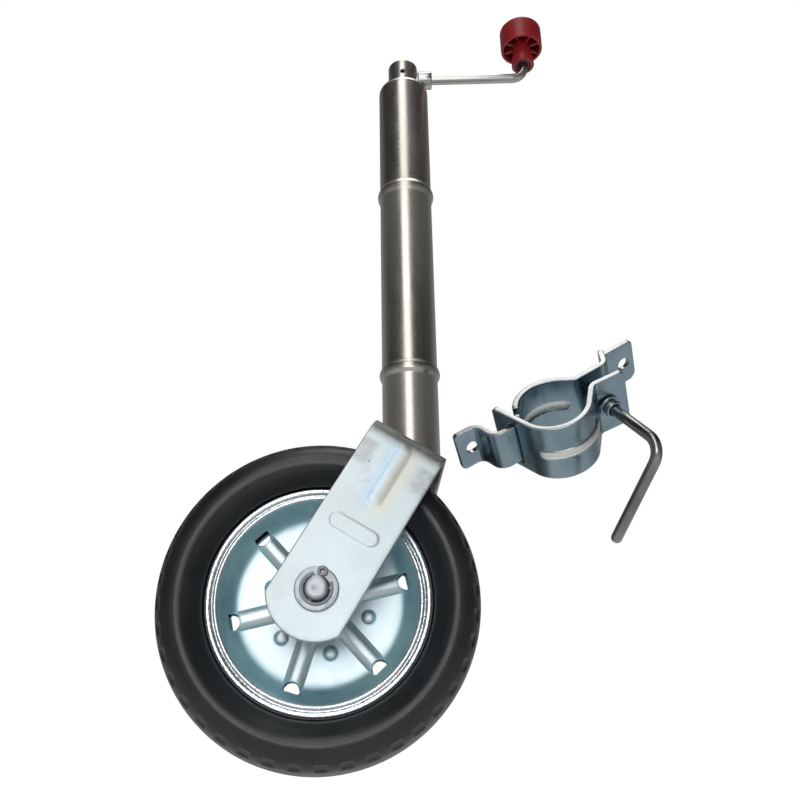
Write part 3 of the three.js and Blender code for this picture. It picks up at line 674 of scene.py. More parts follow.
def zinc_clamp(name="zinc_clamp", painted_highlight_bead=None):
    """Blue-grey plate with faint purple clouds; edges that face along the ring are bright, and the beads carry a
    painted highlight.
    """
    look = Look(name, 1.0)
    clouds = look.noise(38, 4, 0.6)
    plate = look.ramp(clouds, (0.25, 0.36, 0.42), (0.37, 0.49, 0.55))
    purple = look.band(look.noise(24, 2, 0.5, distortion=0.4), 0.55, 0.7, 0.0, 0.35)
    plate = look.mix(purple, plate, (0.36, 0.38, 0.60))
    facing = look.math("ABSOLUTE", look.dot(look.coords["Normal"], ring_axis))
    plate = look.mix(look.band(facing, 0.35, 0.85), plate, (0.40, 0.415, 0.415))
    dull = look.band(clouds, 0.3, 0.7, 0.2, 0.32)
    if painted_highlight_bead:
        # Painted highlight: the bead is painted near white, as if it caught the light
        bright = bead_highlight_mask(look, *painted_highlight_bead)
        plate = look.mix(bright, plate, (0.95, 0.97, 0.93))
        dull = look.math("ADD", dull, look.product(bright, 0.22))
    look.color(plate)
    look.dull(dull)
    look.raise_by(look.noise(700, 3, 0.6), 0.04, 0.0002)
    look.raise_by(clouds, 0.05, 0.001)
    return look.material


def tyre_rubber():
    look = Look("tyre_rubber", 0.0)
    grain = look.noise(900, 3, 0.65)
    clouds = look.noise(30, 4, 0.65)
    base = look.ramp(clouds, (0.009, 0.0105, 0.012), (0.017, 0.0195, 0.023))
    dust = look.band(look.noise(70, 5, 0.75), 0.55, 0.8, 0.0, 0.25)
    look.color(look.mix(dust, base, (0.06, 0.066, 0.078)))
    look.rough(look.blend(grain, 0.5, clouds), 0.28, 0.44)
    look.put(look.shader["Specular IOR Level"], 0.7)
    rings = look.math("SINE", look.product(look.length(*look.from_axle()), 1500.0))
    look.raise_by(rings, 0.05, 0.0004)
    look.raise_by(grain, 0.18, 0.0003)
    return look.material


def red_plastic():
    look = Look("red_plastic", 0.0)
    grain = look.noise(1100, 2, 0.6)
    look.color(look.ramp(look.noise(60, 3, 0.6), (0.29, 0.012, 0.014), (0.37, 0.018, 0.02)))
    look.rough(grain, 0.32, 0.46)
    look.raise_by(grain, 0.15, 0.0003)
    return look.material


MATERIALS = {
    make.__name__: make()
    for make in (satin_tube, bright_steel, zinc_fork, zinc_rim, zinc_clamp, tyre_rubber, red_plastic)
}
MATERIALS["dark_steel"] = one_noise(
    "dark_steel", 1.0, (500, 3, 0.6), (0.12, 0.12, 0.125), (0.24, 0.24, 0.25), (0.28, 0.45), (0.1, 0.0002),
)
MATERIALS["brass_nut"] = one_noise(
    "brass_nut", 1.0, (400, 3, 0.6), (0.52, 0.38, 0.16), (0.68, 0.52, 0.26), (0.24, 0.4), (0.1, 0.0002),
)
MATERIALS["black_nylon"] = one_noise(
    "black_nylon", 0.0, (800, 3, 0.6), (0.018, 0.018, 0.02), (0.035, 0.035, 0.038), (0.42, 0.58),
    (0.12, 0.0002),
)
# Bright round bar with darker smudges, as a handled screw has
HANDLE_STEEL = one_noise(
    "handle_steel", 1.0, (55, 4, 0.65, (1, 1, 0.4)), (0.22, 0.225, 0.22), (0.40, 0.405, 0.39), (0.15, 0.25),
    (0.02, 0.0006),
)
TURNED_STEEL = turned_steel()
SCRATCHED_PLATE = scratched_plate()
SLOTS = {part["node"]: part["material_slot"] for part in frame["record"]["subparts"]}
for node_name, node_object in frame["nodes"].items():
    node_object.data.materials.clear()
    node_object.data.materials.append(MATERIALS[SLOTS[node_name]])


def show(name, part, matrix, body, *nodes, material=None, sharp=40):
    """A finished mesh in place: it rides on a body and stands for the nodes it replaces."""
    points, faces = part
    mesh = bpy.data.meshes.new(name)
    mesh.from_pydata([matrix @ Vector(p) for p in points], [], faces)
    mesh.validate()
    mesh.update()
    mesh.polygons.foreach_set("use_smooth", [True] * len(mesh.polygons))
    mesh.set_sharp_from_angle(angle=radians(sharp))
    obj = bpy.data.objects.new(name, mesh)
    bpy.context.scene.collection.objects.link(obj)
    slot = SLOTS[nodes[0]]
    mesh.materials.append(material or MATERIALS[slot])
    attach(obj, body)
    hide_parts(*nodes)
    return obj


# ---- Tube -------------------------------------------------------------------------------


def tube_profile():
    outside = [(TUBE_RADIUS - TUBE_WALL, TUBE_LOW - 0.2), (TUBE_RADIUS, TUBE_LOW - 0.2)]
    for bead in BEADS:
        half = 7.0
        for k in range(-8, 9):
            swell = cos(pi * k / 16) ** 1.3 if abs(k) < 8 else 0.0
            outside.append((TUBE_RADIUS + BEAD_RISE * swell, bead + half * k / 8))
    centre = (TUBE_RADIUS - SHOULDER, TUBE_TOP - SHOULDER)
    outside += arc(SHOULDER, 0, 90, 14, centre)
    outside += [(9.0, TUBE_TOP), (9.0, TUBE_TOP - TUBE_WALL)]
    outside += list(reversed(arc(SHOULDER - TUBE_WALL, 0, 90, 10, centre)))
    return outside


show("tube_shell", turned(tube_profile(), 160), STANDING, "tube", "outer_tube")

# ---- Crank and knob ---------------------------------------------------------------------

head_low, head_top = 658.4, 686.0
head = [(0, head_low)] + rounded(
    [(HEAD_RADIUS, head_low), (HEAD_RADIUS, head_top), (HEAD_RADIUS - 4, head_top + 0.5)], [0.6, 2.4, 0],
    closed=False, steps=6,
)
head += [(HEAD_RADIUS - 8, head_top + 0.75), (0, head_top + 0.8)]
across_head = Matrix.Translation((0, 0, CRANK_HEIGHT)) @ Matrix.Rotation(pi / 2, 4, "X")
along_head = Matrix.Translation((0, 0, CRANK_HEIGHT)) @ Matrix.Rotation(pi / 2, 4, "Y")
pin_drill = turned([(0, -20), (2.9, -20), (2.9, 20), (0, 20)], 48)
rod_drill = turned([(0, -8.7), (ROD_RADIUS + FIT, -8.7), (ROD_RADIUS + FIT, 20), (0, 20)], 48)
drilled_head = cut(turned(head, 96), moved(pin_drill, across_head), moved(rod_drill, along_head))
show("head_cap", drilled_head, CRANK, "crank", "crank_head", material=MATERIALS["satin_tube"], sharp=30)


def cross_pin():
    """The hollow spring pin across the head; its slit is too fine to show."""
    corners = [(1.8, -14.7), (2.6, -14.7), (2.6, 14.7), (1.8, 14.7)]
    return moved(turned(rounded(corners, 0.2, steps=2), 32), Matrix.Rotation(pi / 2, 4, "X"))


pin_place = CRANK @ Matrix.Translation((0, 0, CRANK_HEIGHT))
show("cross_pin", cross_pin(), pin_place, "crank", "head_roll_pin")

along_crank = CRANK @ Matrix.Translation((0, 0, CRANK_HEIGHT)) @ Matrix.Rotation(pi / 2, 4, "Y")
show("socket_sleeve", ring(ROD_RADIUS + FIT, 9.1, 15.3, 30, edge=1.2), along_crank, "crank", "crank_socket")

rod_top = KNOB_BASE + 40.6
rod_corners = [(-8.4, 0, CRANK_HEIGHT), (CRANK_REACH, 0, CRANK_HEIGHT), (CRANK_REACH, 0, rod_top)]
rod_path = rounded(rod_corners, 13, closed=False, steps=10)
show("crank_bar", swept(rod_path, ROD_RADIUS, 36), CRANK, "crank", "crank_rod")


def knob_mesh():
    """A hollow head: skirt, stem and eight webs between them."""
    bore, stem, skirt, outer = 7.9, 9.4, 18.9, 21.7
    rim, roof, top = 22.0, 46.0, 52.5
    corners = [
        (bore, roof - 1), (bore, 0), (11.8, 0), (11.2, 9), (9.8, 16), (stem, rim), (stem, roof),
        (skirt, roof), (skirt, rim), (outer, rim), (outer, 47), (outer - 4, top - 0.6), (8, top),
    ]
    radii = [0.4, 0.6, 1.4, 6, 4, 2, 1.5, 1.5, 0.8, 0.9, 4.5, 6, 0]
    profile = [(0, roof - 1)] + rounded(corners, radii, closed=False, steps=6) + [(0, top)]
    body = turned(profile, 128)
    webs = []
    for i in range(8):
        corners = [(stem - 0.6, -1), (skirt + 0.6, -1), (skirt + 0.6, 1), (stem - 0.6, 1)]
        low, high = rim + 2.5, roof + 0.6
        points = [(x, y, z) for z in (low, high) for x, y in corners]
        faces = [(3, 2, 1, 0), (4, 5, 6, 7), (0, 1, 5, 4), (1, 2, 6, 5), (2, 3, 7, 6), (3, 0, 4, 7)]
        webs.append(moved((points, faces), Matrix.Rotation((i + 0.5) * pi / 4, 4, "Z")))
    return joined(body, *webs)


show("knob_head", knob_mesh(), KNOB, "knob", "knob")
show("knob_liner", ring(ROD_RADIUS + FIT, 7.6, 1, 37), KNOB, "knob", "knob_bush")

# ---- Fork -------------------------------------------------------------------------------

LEG_MIDDLE = FORK_OUTSIDE - STRAP / 2
CROWN_BEND = 9.5
CROWN_TOP = FORK_LENGTH - STRAP / 2
CROWN_FLAT = LEG_MIDDLE - CROWN_BEND
BEND_LENGTH = CROWN_BEND * pi / 2
AXLE_AT = CROWN_FLAT + BEND_LENGTH + CROWN_TOP - CROWN_BEND  # distance from the crown's middle


def leg_height(v):
    """How far above the axle a place on a leg is."""
    return AXLE_AT - abs(v)


def press(u, v):
    """How far the pressed rib and the blank panel stand out."""
    height = leg_height(v)
    low, high, width, rise = 82.0, 127.5, 6.0, 0.8
    along = max(low - height, 0, height - high)
    away = hypot(u if u < 0 else u * 0.75, along) / width
    lift = rise * (1 - away ** 2) ** 1.1 if away < 1 else 0.0
    if v > 0:
        half, radius, middle = 21.0, 6.0, 53.0
        away = hypot(max(abs(u) - half + radius, 0), max(abs(height - middle) - radius + radius, 0)) - radius
        lift += 0.45 * min(max(0.5 - away / 1.2, 0), 1)
    return lift


def on_fork(u, v, n):
    """Bends the flat strap over the wheel; v > 0 is the near leg."""
    side = -1 if v > 0 else 1
    far = abs(v)
    n += press(u, v)
    if far <= CROWN_FLAT:
        return Vector((u, side * far, CROWN_TOP + n))
    if far <= CROWN_FLAT + BEND_LENGTH:
        angle = (far - CROWN_FLAT) / CROWN_BEND
        reach = CROWN_BEND + n
        over, high = CROWN_FLAT + reach * sin(angle), CROWN_TOP - CROWN_BEND + reach * cos(angle)
        return Vector((u, side * over, high))
    return Vector((u, side * (LEG_MIDDLE + n), leg_height(v)))


def fork_mesh():
    half = FORK_WIDTH / 2
    corner = degrees(asin(half / LEG_END))
    near = arc(LEG_END, 90 - corner, 90 + corner, 40, (0, AXLE_AT))
    far = arc(LEG_END, 270 - corner, 270 + corner, 40, (0, -AXLE_AT))
    outline = resampled(near + far, 2.5)
    holes = [list(reversed(arc(AXLE_RADIUS + 0.4, 0, 360, 48, (0, side * AXLE_AT))[:-1])) for side in (1, -1)]
    length = AXLE_AT + LEG_END
    fill = [grid((-half, -length), (half, length), 3.3, 3.0)]
    bend = CROWN_FLAT + BEND_LENGTH / 2
    for side in (1, -1):
        rib = side * (AXLE_AT - 105)
        fill.append(grid((-8, rib - 32), (8, rib + 32), 0.9, 1.2))
        fill.append(grid((-half + 1, side * bend - 9), (half - 1, side * bend + 9), 3.3, 1.0))
    panel = AXLE_AT - 53
    fill.append(grid((-24, panel - 9), (24, panel + 9), 0.9, 0.9))
    points = np.concatenate(fill)
    return sheet(outline, holes, points, STRAP, on_fork, edge=0.9, clear=0.5)


show("fork_strap", fork_mesh(), LEANING, "castor", "fork")


def cut_by_crown(part, clearance):
    """Drops what is on the wheel's side of the crown's upper face, by moving each point up to it."""
    normal = Vector((sin(FORK_TILT), 0, cos(FORK_TILT)))
    axle = Vector((wheel_centre.x / MM, 0, WHEEL_RADIUS))
    points = []
    for p in part[0]:
        point = Vector(p)
        short = FORK_LENGTH + clearance - (point - axle).dot(normal)
        if short > 0:
            point.z += short / normal.z
        points.append(tuple(point))
    return points, part[1]


socket_top = TUBE_LOW - 0.25
SOCKET_FOOT = 190  # under the crown's upper face, up to which cut_by_crown moves it
socket = [(TUBE_RADIUS, SOCKET_FOOT), (TUBE_RADIUS, socket_top)]
socket = [(INNER_RADIUS + FIT, SOCKET_FOOT)] + socket + [(INNER_RADIUS + FIT, socket_top)]
show("socket_tube", cut_by_crown(turned(socket, 128), FIT), STANDING, "castor", "fork_socket")
inner_top = (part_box("inner_tube")[1].z - FLOOR) / MM
bore = 16.0
lip = 11.6
inner = [
    (bore, SOCKET_FOOT), (INNER_RADIUS, SOCKET_FOOT),
    (INNER_RADIUS, inner_top - 1), (INNER_RADIUS - 1, inner_top),
    (lip, inner_top), (lip, inner_top - 5), (bore, inner_top - 5),
]
show("ram_tube", cut_by_crown(turned(inner, 96), FIT), STANDING, "castor", "inner_tube")

# ---- Axle and its small parts -------------------------------------------------------------

CLIP_FROM, CLIP_TO = 64.7, 66.0


def axle_mesh():
    """A pin with a groove for a clip at each end and a centre drill mark in its ends."""
    groove = AXLE_RADIUS - 1
    half = [
        (AXLE_RADIUS, CLIP_FROM - FIT), (groove, CLIP_FROM - FIT), (groove, CLIP_TO + FIT),
        (AXLE_RADIUS, CLIP_TO + FIT), (AXLE_RADIUS, AXLE_HALF - 1.3), (AXLE_RADIUS - 0.4, AXLE_HALF - 0.5),
        (AXLE_RADIUS - 1.3, AXLE_HALF), (AXLE_RADIUS * 0.5, AXLE_HALF - 0.15), (1.2, AXLE_HALF - 0.15),
        (0, AXLE_HALF - 0.5),
    ]
    return turned(mirrored(half) + half, 80)


show("axle_pin", axle_mesh(), WHEEL, "castor", "axle", material=TURNED_STEEL)


def open_ring(inner, outer, low, high, gap, towards, reach):
    """A snap ring with round ends and prongs, its gap turned towards an angle in degrees."""
    middle, half = (inner + outer) / 2, (outer - inner) / 2
    start, end = towards + gap / 2, towards + 360 - gap / 2
    outside = arc(outer, start, end, 60)
    tip = (middle * cos(radians(end)), middle * sin(radians(end)))
    first = arc(half, end, end + 180, 6, tip)[1:-1]
    # Three prongs reach in to the groove
    inner_side = []
    for x, y in arc(1, end, start, 150):
        off = min(abs((degrees(atan2(y, x)) - towards - turn + 180) % 360 - 180) for turn in (62, 180, 298))
        here = inner - reach * min(max((9 - off) / 3, 0), 1)
        inner_side.append((here * x, here * y))
    tip = (middle * cos(radians(start)), middle * sin(radians(start)))
    last = arc(half, start + 180, start + 360, 6, tip)[1:-1]
    outline = outside + first + inner_side + last
    mid = (low + high) / 2
    no_fill = np.zeros((0, 2))
    return sheet(outline, [], no_fill, high - low, lambda u, v, n: Vector((u, v, mid + n)), edge=0.3)


def clip_mesh(side):
    """The open clip with a round eye at one end of it, as seen from outside."""
    low, high = sorted((side * CLIP_FROM, side * CLIP_TO))
    ring_part = open_ring(10.7, 12.7, low, high, 84, -62, 2.0)
    angle = radians(-70)
    eye_low, eye_high = sorted((side * (CLIP_FROM + 0.1), side * (CLIP_TO + 0.9)))
    eye_place = Matrix.Translation((13.4 * cos(angle), 13.4 * sin(angle), 0))
    return joined(ring_part, moved(ring(1.5, 4.0, eye_low, eye_high, 0.4, 40), eye_place))


for label, side in (("near", -1), ("far", 1)):
    low, high = sorted((side * (FORK_OUTSIDE + FIT), side * (CLIP_FROM - FIT)))
    washer = ring(AXLE_RADIUS + FIT, 16.8, low, high, 0.7)
    show(f"washer_{label}", washer, WHEEL, "castor", f"axle_washer_{label}", material=SCRATCHED_PLATE)
    show(f"clip_{label}", clip_mesh(side), WHEEL, "castor", f"axle_clip_{label}")
    low, high = sorted((side * 50.4, side * (FORK_OUTSIDE - STRAP - FIT)))
    spacer = ring(AXLE_RADIUS + FIT, 14.5, low, high, 0.8)
    show(f"spacer_{label}", spacer, WHEEL, "castor", f"hub_spacer_{label}")

# ---- Wheel ------------------------------------------------------------------------------

show("hub_barrel", ring(12.6, 15, -50, 50, 0.6), WHEEL, "wheel", "hub_tube")

RIM_CURVE = spline([
    (15.3, 1.5), (30, 1.5), (50, 1.5), (60, 1.5), (66.5, 1.8), (70.6, 3.9), (74, 9.2), (77.2, 15.2),
    (79.8, 19.8), (81.3, 21.0), (82.7, 20.7), (83.6, 19.3), (84.6, 19.7), (86.0, 20.8), (87.4, 21.2),
    (88.8, 21.0),
], 5)
RIM_R = [p[0] for p in RIM_CURVE]
RIM_Z = [p[1] for p in RIM_CURVE]
RIDGE = 7.6
RIDGE_RISE = 4.3


def ridge_height(x, y):
    """The half-round spoke ridges, open at their outer ends."""
    far = hypot(x, y)
    turn = 2 * pi / SPOKES
    angle = atan2(y, x)
    off = angle - turn * round(angle / turn)
    across, along = far * sin(off), far * cos(off)
    if abs(across) >= RIDGE:
        return 0.0
    profile = 1 - abs(across / RIDGE) ** 2.8
    start = min(max((along - 20) / 8, 0), 1)
    return RIDGE_RISE * profile * start


def rim_level(x, y):
    """The ridges run out into the wall."""
    wall = float(np.interp(hypot(x, y), RIM_R, RIM_Z))
    return max(wall, RIM_CURVE[0][1] + ridge_height(x, y))


def on_rim(u, v, n):
    step = 0.15
    level = rim_level(u, v)
    slope_u = (rim_level(u + step, v) - rim_level(u - step, v)) / (2 * step)
    slope_v = (rim_level(u, v + step) - rim_level(u, v - step)) / (2 * step)
    normal = Vector((-slope_u, -slope_v, 1)).normalized()
    return Vector((u, v, level + SHEET / 2 - 1.2)) + normal * n


def rim_mesh():
    turn = 2 * pi / SPOKES
    outline = arc(RIM_RADIUS, 0, 360, 180)[:-1]
    holes = [list(reversed(arc(15.3, 0, 360, 60)[:-1]))]
    # A window beyond each ridge: round towards the hub, straight at the wall
    window = arc(6.8, 90, 270, 16, (71.6, 0)) + [(73.4, -6.4), (73.4, 6.4)]
    window = resampled(rounded(window, [0] * 17 + [1.2, 1.2], steps=4), 1.2)
    drill = arc(2.9, 0, 360, 20, (RIVET_CIRCLE, 0))[:-1]
    for i in range(SPOKES):
        for cut, angle in ((window, i * turn), (drill, (i + 0.5) * turn)):
            loop = spun(cut, angle)
            area = sum(a[0] * b[1] - a[1] * b[0] for a, b in zip(loop, loop[1:] + loop[:1]))
            holes.append(loop if area < 0 else list(reversed(loop)))
    fill = []
    radii = list(np.arange(17, 61, 3.0)) + list(np.arange(61, 79, 0.8)) + list(np.arange(79, 88.4, 0.45))
    for k, far in enumerate(radii):
        count = 180 if far > 60 else 120
        for i in range(count):
            angle = 2 * pi * (i + 0.5 * (k % 2)) / count
            off = angle - turn * round(angle / turn)
            if abs(far * sin(off)) > RIDGE + 1.6 or far > 74:
                fill.append((far * cos(angle), far * sin(angle)))
    half_offsets = [0.14, 0.28, 0.42, 0.56, 0.68, 0.78, 0.87, 0.94, 1.0, 1.06, 1.14]
    offsets = [RIDGE * t for t in [-t for t in reversed(half_offsets)] + [0] + half_offsets]
    for i in range(SPOKES):
        fill += spun([(x, y) for x in np.arange(18, 73, 1.3) for y in offsets], i * turn)
    return sheet(outline, holes, np.array(fill), SHEET, on_rim, edge=0.7, clear=0.35, steps=3)


def rivet_mesh():
    head, low, high = 5.6, SHEET + 0.4, 3.1
    dome = [(head, low), (head + 0.1, low + 0.4), (head - 0.3, low + 1.2), (head - 1.1, low + 2.1)]
    dome += [(head - 1.8, low + 2.6), (head - 2.5, low + 2.9), (head - 3.0, low + 3.0), (0, low + high)]
    return turned(mirrored(dome) + [(2.6, -low), (2.6, low)] + dome, 40)


half_rim = rim_mesh()
turn_far = Matrix.Rotation(-FIRST_SPOKE, 4, "Z")
turn_near = Matrix.Rotation(pi, 4, "X") @ Matrix.Rotation(FIRST_SPOKE, 4, "Z")
show("rim_shell_far", half_rim, WHEEL @ turn_far, "wheel", "rim_half_far")
show("rim_shell_near", half_rim, WHEEL @ turn_near, "wheel", "rim_half_near")
for i in range(SPOKES):
    turn = Matrix.Rotation(-FIRST_SPOKE + (i + 0.5) * 2 * pi / SPOKES, 4, "Z")
    place = WHEEL @ turn @ Matrix.Translation((RIVET_CIRCLE, 0, 0))
    show(f"rivet_{i + 1}", rivet_mesh(), place, "wheel", f"rim_rivet_{i + 1}")


def tyre_mesh():
    """The lathe-turned tyre; near the shoulders its columns step in to make the moulded notches."""
    notches = 40
    wall = spline([
        (90, 18.6), (91, 22.6), (94, 26.6), (99, 31.6), (103.6, 35.3), (108, 37), (112.6, 36.8),
        (117.6, 34.9), (122.4, 31), (126.4, 24.6), (128.8, 16.5),
    ], 6)
    crown = spline([(128.8, 16.5), (129.4, 12), (129.8, 7.5), (130, 3), (130, 0)], 4)[1:]
    half = [(77.2, 11.3), (81.5, 18.4), (88.5, 18.4)] + wall + crown
    full = half + mirrored(half[:-1])
    points, rows = [], []
    columns = [0.0, 0.04, 0.1, 0.3, 0.5, 0.56, 0.62, 0.75, 0.88, 0.96]
    depth = 1.3
    for index, (far, z) in enumerate(full):
        row = []
        in_band = min(max((far - 122.2) / 0.5, 0), 1) * min(max((126.6 - far) / 0.5, 0), 1)
        side = 1 if z > 0 else -1
        for i in range(notches):
            for column in columns:
                open_part = 1.0 if 0.1 <= column <= 0.5 else 0.0
                dip = depth * in_band * open_part
                angle = 2 * pi * (i + column + (0.5 if side < 0 else 0)) / notches
                here = far - dip * 0.75
                row.append(len(points))
                points.append((here * cos(angle), here * sin(angle), z - side * dip * 0.66))
        rows.append(row)
    return points, woven(rows)


show("tyre_body", tyre_mesh(), WHEEL, "wheel", "tyre", sharp=50)

# ---- Clamp --------------------------------------------------------------------------------

TAB_LINE = 5.5
TAB_HALF = 17.5
EAR_LINE = 27.6
EAR_HALF = 18.5
BACK_FLANGE = 10.7
FRONT_FLANGE = 1.8
EAR_LEFT, EAR_RIGHT = -74.0, 95.0
HINGE = Vector((-31.0, TAB_LINE, 0))
HOOK_END = (-38.0, 26.0)
BEAD_HALF = 4.4
BACK_BEAD_RISE = 1.5
FRONT_BEAD_RISE = 2.4
# The front half hangs open by a few degrees about the hook on the back half's tab
FRONT_SWING = Matrix.Translation(HINGE) @ Matrix.Rotation(-OPEN_ANGLE, 4, "Z") @ Matrix.Translation(-HINGE)


def tangent_angle(x, y):
    return degrees(acos(CLAMP_RING / hypot(x, y)))


def bead(s, v, start, end, rise):
    """The pressed bead round the ring at half height, with soft ends."""
    along = max(start - s, 0, s - end)
    away = hypot(v, along) / BEAD_HALF
    return rise * sqrt(1 - away ** 2) ** 1.3 if away < 1 else 0.0


def strap(route, outline, holes, lift):
    """A bent strap: the outline is flat in (distance along, height), the route bends it.
    lift(s, v) is what is pressed out of it to its right side."""
    def place(u, v, n):
        x, y, nx, ny = route.spot(u)
        off = -(n + lift(u, v))
        return Vector((x + nx * off, y + ny * off, v))

    xs = [p[0] for p in outline]
    fill = grid((min(xs), -CLAMP_HALF), (max(xs), CLAMP_HALF), 1.5, 2.0)
    fine_fill = grid((min(xs), -BEAD_HALF - 0.4), (max(xs), BEAD_HALF + 0.4), 1.2, 0.45)
    points = np.concatenate([fill, fine_fill])
    loop = resampled(outline, 1.5)
    return sheet(loop, holes, points, CLAMP_SHEET, place, edge=0.7, clear=0.3)


def round_hole(s, radius, stretch=1.0):
    return [(s + stretch * x, y) for x, y in reversed(arc(radius, 0, 360, 36)[:-1])]


def back_half():
    flange = (30.0, BACK_FLANGE)
    leave = degrees(atan2(flange[1], flange[0])) + tangent_angle(*flange)
    meet = 180 - degrees(asin(TAB_LINE / CLAMP_RING))
    around = arc(CLAMP_RING, meet, leave, 40)
    left = [(EAR_LEFT, EAR_LINE), (-53.5, EAR_LINE), (-49.5, TAB_LINE), around[0]]
    ears = rounded(left, 9.0, closed=False, steps=9)
    right = [around[-1], flange, (58, BACK_FLANGE), (66, EAR_LINE), (EAR_RIGHT, EAR_LINE)]
    right = rounded(right, 6.5, closed=False, steps=9)
    route = Route(resampled(ears + around[1:-1] + right, 0.6, closed=False))
    tab = route.where(-23.8)
    ear = route.where(66.5, from_end=True)
    end = route.length
    outline = rounded(
        [(0, -TAB_HALF), (tab, -TAB_HALF), (tab, -CLAMP_HALF), (ear, -CLAMP_HALF), (ear, -EAR_HALF),
         (end, -EAR_HALF), (end, EAR_HALF), (ear, EAR_HALF), (ear, CLAMP_HALF), (tab, CLAMP_HALF),
         (tab, TAB_HALF), (0, TAB_HALF)],
        [4, 2, 2, 4, 2.5, 7, 3, 1.5, 3, 2, 2, 3],
    )
    holes = [
        round_hole(route.where(-61.5), 5.2),
        round_hole(route.where(85, from_end=True), 5.2),
        round_hole(route.where(SCREW_X, from_end=True), SCREW_RADIUS + 0.9),
    ]
    first, last = route.where(-26), route.where(21, from_end=True)
    return strap(route, outline, holes, lambda s, v: -bead(s, v, first, last, BACK_BEAD_RISE))


def front_half():
    flange = (35.0, FRONT_FLANGE)
    leave = degrees(atan2(flange[1], flange[0])) - tangent_angle(*flange)
    start = degrees(atan2(HOOK_END[1], HOOK_END[0])) + tangent_angle(*HOOK_END) - 360
    around = arc(CLAMP_RING, start, leave, 44)
    right = rounded([around[-1], flange, (62.5, FRONT_FLANGE)], 7, closed=False, steps=10)
    route = Route(resampled([HOOK_END] + around[:-1] + right, 0.6, closed=False))
    wall = Route([(y, x) for x, y in route.points])
    slot = sorted((wall.where(TAB_LINE + 4.3), wall.where(TAB_LINE - 4.3)))
    tall = TAB_HALF + 1
    corners = [(slot[0], -tall), (slot[1], -tall), (slot[1], tall), (slot[0], tall)]
    cut = list(reversed(resampled(rounded(corners, 1.5), 1.5)))
    end = route.length
    corners = [(0, -CLAMP_HALF), (end, -CLAMP_HALF), (end, CLAMP_HALF), (0, CLAMP_HALF)]
    outline = rounded(corners, [2.5, 4, 4, 2.5])
    holes = [cut, round_hole(route.where(SCREW_X, from_end=True), SCREW_RADIUS + 1.2, 1.25)]
    first, last = route.where(-20, from_end=True), route.where(25, from_end=True)
    body = strap(route, outline, holes, lambda s, v: bead(s, v, first, last, FRONT_BEAD_RISE))
    return moved(body, FRONT_SWING)


# The level, rise, start and end of each bead, for its painted highlight
back_bead_highlight = (clamp_centre, CLAMP_RING - CLAMP_SHEET / 2, BACK_BEAD_RISE, -27, 23)
front_bead_highlight = (CLAMP @ (FRONT_SWING @ Vector()), CLAMP_RING + CLAMP_SHEET / 2, FRONT_BEAD_RISE, -29, 27)
show(
    "clamp_back_strap", back_half(), CLAMP, "clamp", "clamp_back_half",
    material=zinc_clamp("zinc_clamp_back_painted_bead", back_bead_highlight),
)
show(
    "clamp_front_strap", front_half(), CLAMP, "clamp_front", "clamp_front_half",
    material=zinc_clamp("zinc_clamp_front_painted_bead", front_bead_highlight),
)


def nut_mesh():
    low = BACK_FLANGE + CLAMP_SHEET / 2 + FIT
    outline = resampled(rounded(arc(8.4, 0, 300, 5), 0.5, steps=3), 2)
    middle = low + 4.5
    return sheet(
        outline, [round_hole(0, SCREW_RADIUS + FIT)], grid((-8, -8), (8, 8), 2, 2), 9,
        lambda u, v, n: Vector((u, v, middle + n)), edge=0.9,
    )


show("clamp_screw_nut", nut_mesh(), SCREW, "clamp", "clamp_nut")
reach = (SCREW_X - HINGE.x) * sin(OPEN_ANGLE)
WASHER_FACE = FRONT_FLANGE - CLAMP_SHEET / 2 - reach - 1.4
push_washer = ring(SCREW_RADIUS + FIT, 9, WASHER_FACE - 2, WASHER_FACE, 0.5)
show("push_washer", push_washer, SCREW, "clamp_push", "clamp_washer")
collar_top = WASHER_FACE - 2.3
collar = ring(SCREW_RADIUS + FIT, 7, collar_top - 5, collar_top, 1.3)
show("crimped_collar", collar, SCREW, "clamp_screw", "handle_collar")
arm_turn = radians(38.5)
arm = Vector((-sin(arm_turn), 0, -cos(arm_turn)))
corner = Vector((SCREW_X, -72, 0))
handle_path = rounded([(SCREW_X, 22.6, 0), corner, corner + arm * 80], 15, closed=False, steps=14)
handle = swept(handle_path, SCREW_RADIUS, 40, tip="dome")
show("l_handle", handle, CLAMP, "clamp_screw", "clamp_handle", material=HANDLE_STEEL)

# ---- Studio -------------------------------------------------------------------------------


def studio_floor():
    """A pale floor; it glows a little so that it stays as pale as the background."""
    look = Look("studio_floor", 0.0)
    look.dull(0.8)
    look.color(look.ramp(look.noise(3, 2, 0.5), (0.50, 0.50, 0.50), (0.52, 0.52, 0.52)))
    look.put(look.shader["Emission Color"], (1, 1, 1))
    look.put(look.shader["Emission Strength"], 1.0)
    reach, level = 6.0, FLOOR - 0.0005
    corners = [(-reach, -reach, level), (reach, -reach, level), (reach, reach, level), (-reach, reach, level)]
    mesh = bpy.data.meshes.new("studio_floor")
    mesh.from_pydata(corners, [], [(0, 1, 2, 3)])
    mesh.materials.append(look.material)
    plane = bpy.data.objects.new("studio_floor", mesh)
    bpy.context.scene.collection.objects.link(plane)
    plane.visible_glossy = False
    plane.visible_diffuse = False


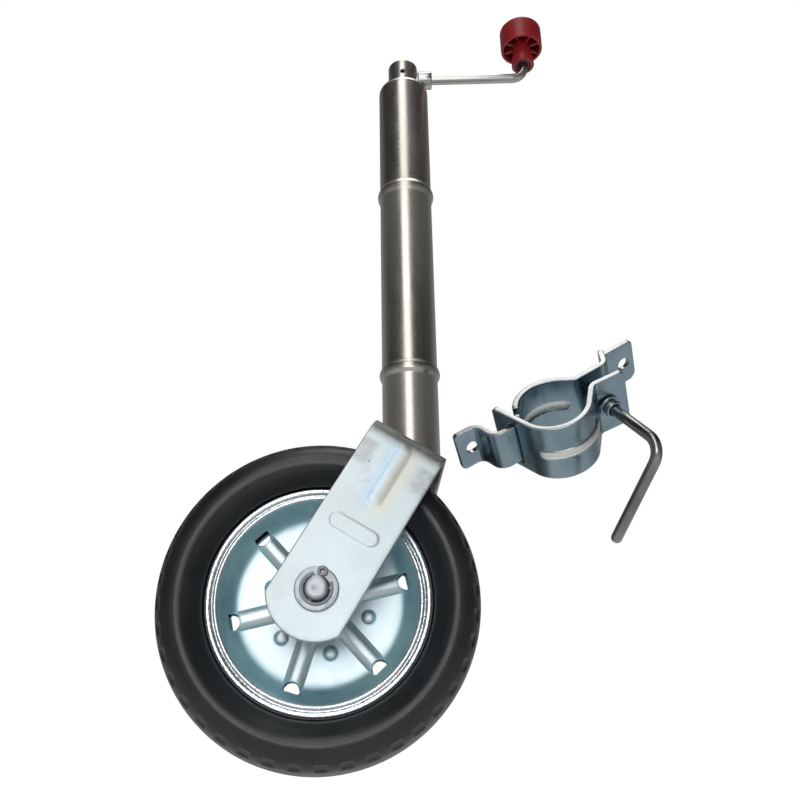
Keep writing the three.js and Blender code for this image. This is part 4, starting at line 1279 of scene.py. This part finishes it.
def studio_room():
    """A white background; what the metal mirrors is a dim room with a paler back wall and ceiling."""
    world = bpy.data.worlds.new("studio_room")
    bpy.context.scene.world = world
    room = Shading(world)
    glow = 0.025
    for axis, start, end, more in (
        ("Y", 0.1, 0.9, 0.20), ("Z", 0.75, 1.0, 0.20), ("Z", 0.1, -0.6, 0.38), ("Y", -0.5, -0.95, 0.04),
        ("Z", 0.65, 0.38, 0.11),
    ):
        glow = room.math("ADD", room.band(room.axis(axis, "Generated"), start, end, 0.0, more), glow)
    seen = room.add("LightPath", {}, "Is Camera Ray")
    room.put(room.nodes["Background"].inputs["Color"], room.math("MAXIMUM", glow, seen))


def studio_lights():
    """A tall soft panel behind the camera, a low bluish strip under it and a soft box overhead."""
    for name, place, aim, size, power, color in (
        ("front_panel", (-0.30, -2.0, FLOOR + 1.45), (-0.05, 0, FLOOR + 0.6), (1.0, 2.9), 18, (1, 1, 1)),
        ("low_strip", (-0.14, -1.5, FLOOR + 0.13), (-0.08, 0, FLOOR + 0.04), (1.0, 0.22), 2.2,
         (0.84, 0.92, 1)),
        ("top_box", (0.1, -0.1, FLOOR + 2.1), (0, 0, FLOOR + 0.3), (1.2, 0.7), 6, (1, 1, 1)),
    ):
        data = bpy.data.lights.new(name, "AREA")
        data.shape = "RECTANGLE"
        data.size, data.size_y = size
        data.energy = power
        data.color = color
        lamp = bpy.data.objects.new(name, data)
        bpy.context.scene.collection.objects.link(lamp)
        lamp.location = place
        lamp.rotation_euler = (Vector(aim) - Vector(place)).to_track_quat("-Z", "Y").to_euler()


def camera():
    data = bpy.data.cameras.new("view")
    data.sensor_width = 36.0
    data.lens = 39.33
    data.clip_start, data.clip_end = 0.05, 50
    eye = bpy.data.objects.new("view", data)
    bpy.context.scene.collection.objects.link(eye)
    yaw, pitch, roll = radians(-2.678), radians(22.403), radians(-1.046)
    turn = Matrix.Rotation(yaw, 4, "Z") @ Matrix.Rotation(pi / 2 + pitch, 4, "X")
    turn = turn @ Matrix.Rotation(roll, 4, "Z")
    eye.matrix_world = Matrix.Translation((-0.0429, -0.72, FLOOR + 0.0108)) @ turn
    bpy.context.scene.camera = eye
    bpy.context.scene.view_settings.view_transform = "Standard"


studio_floor()
studio_room()
studio_lights()
camera()
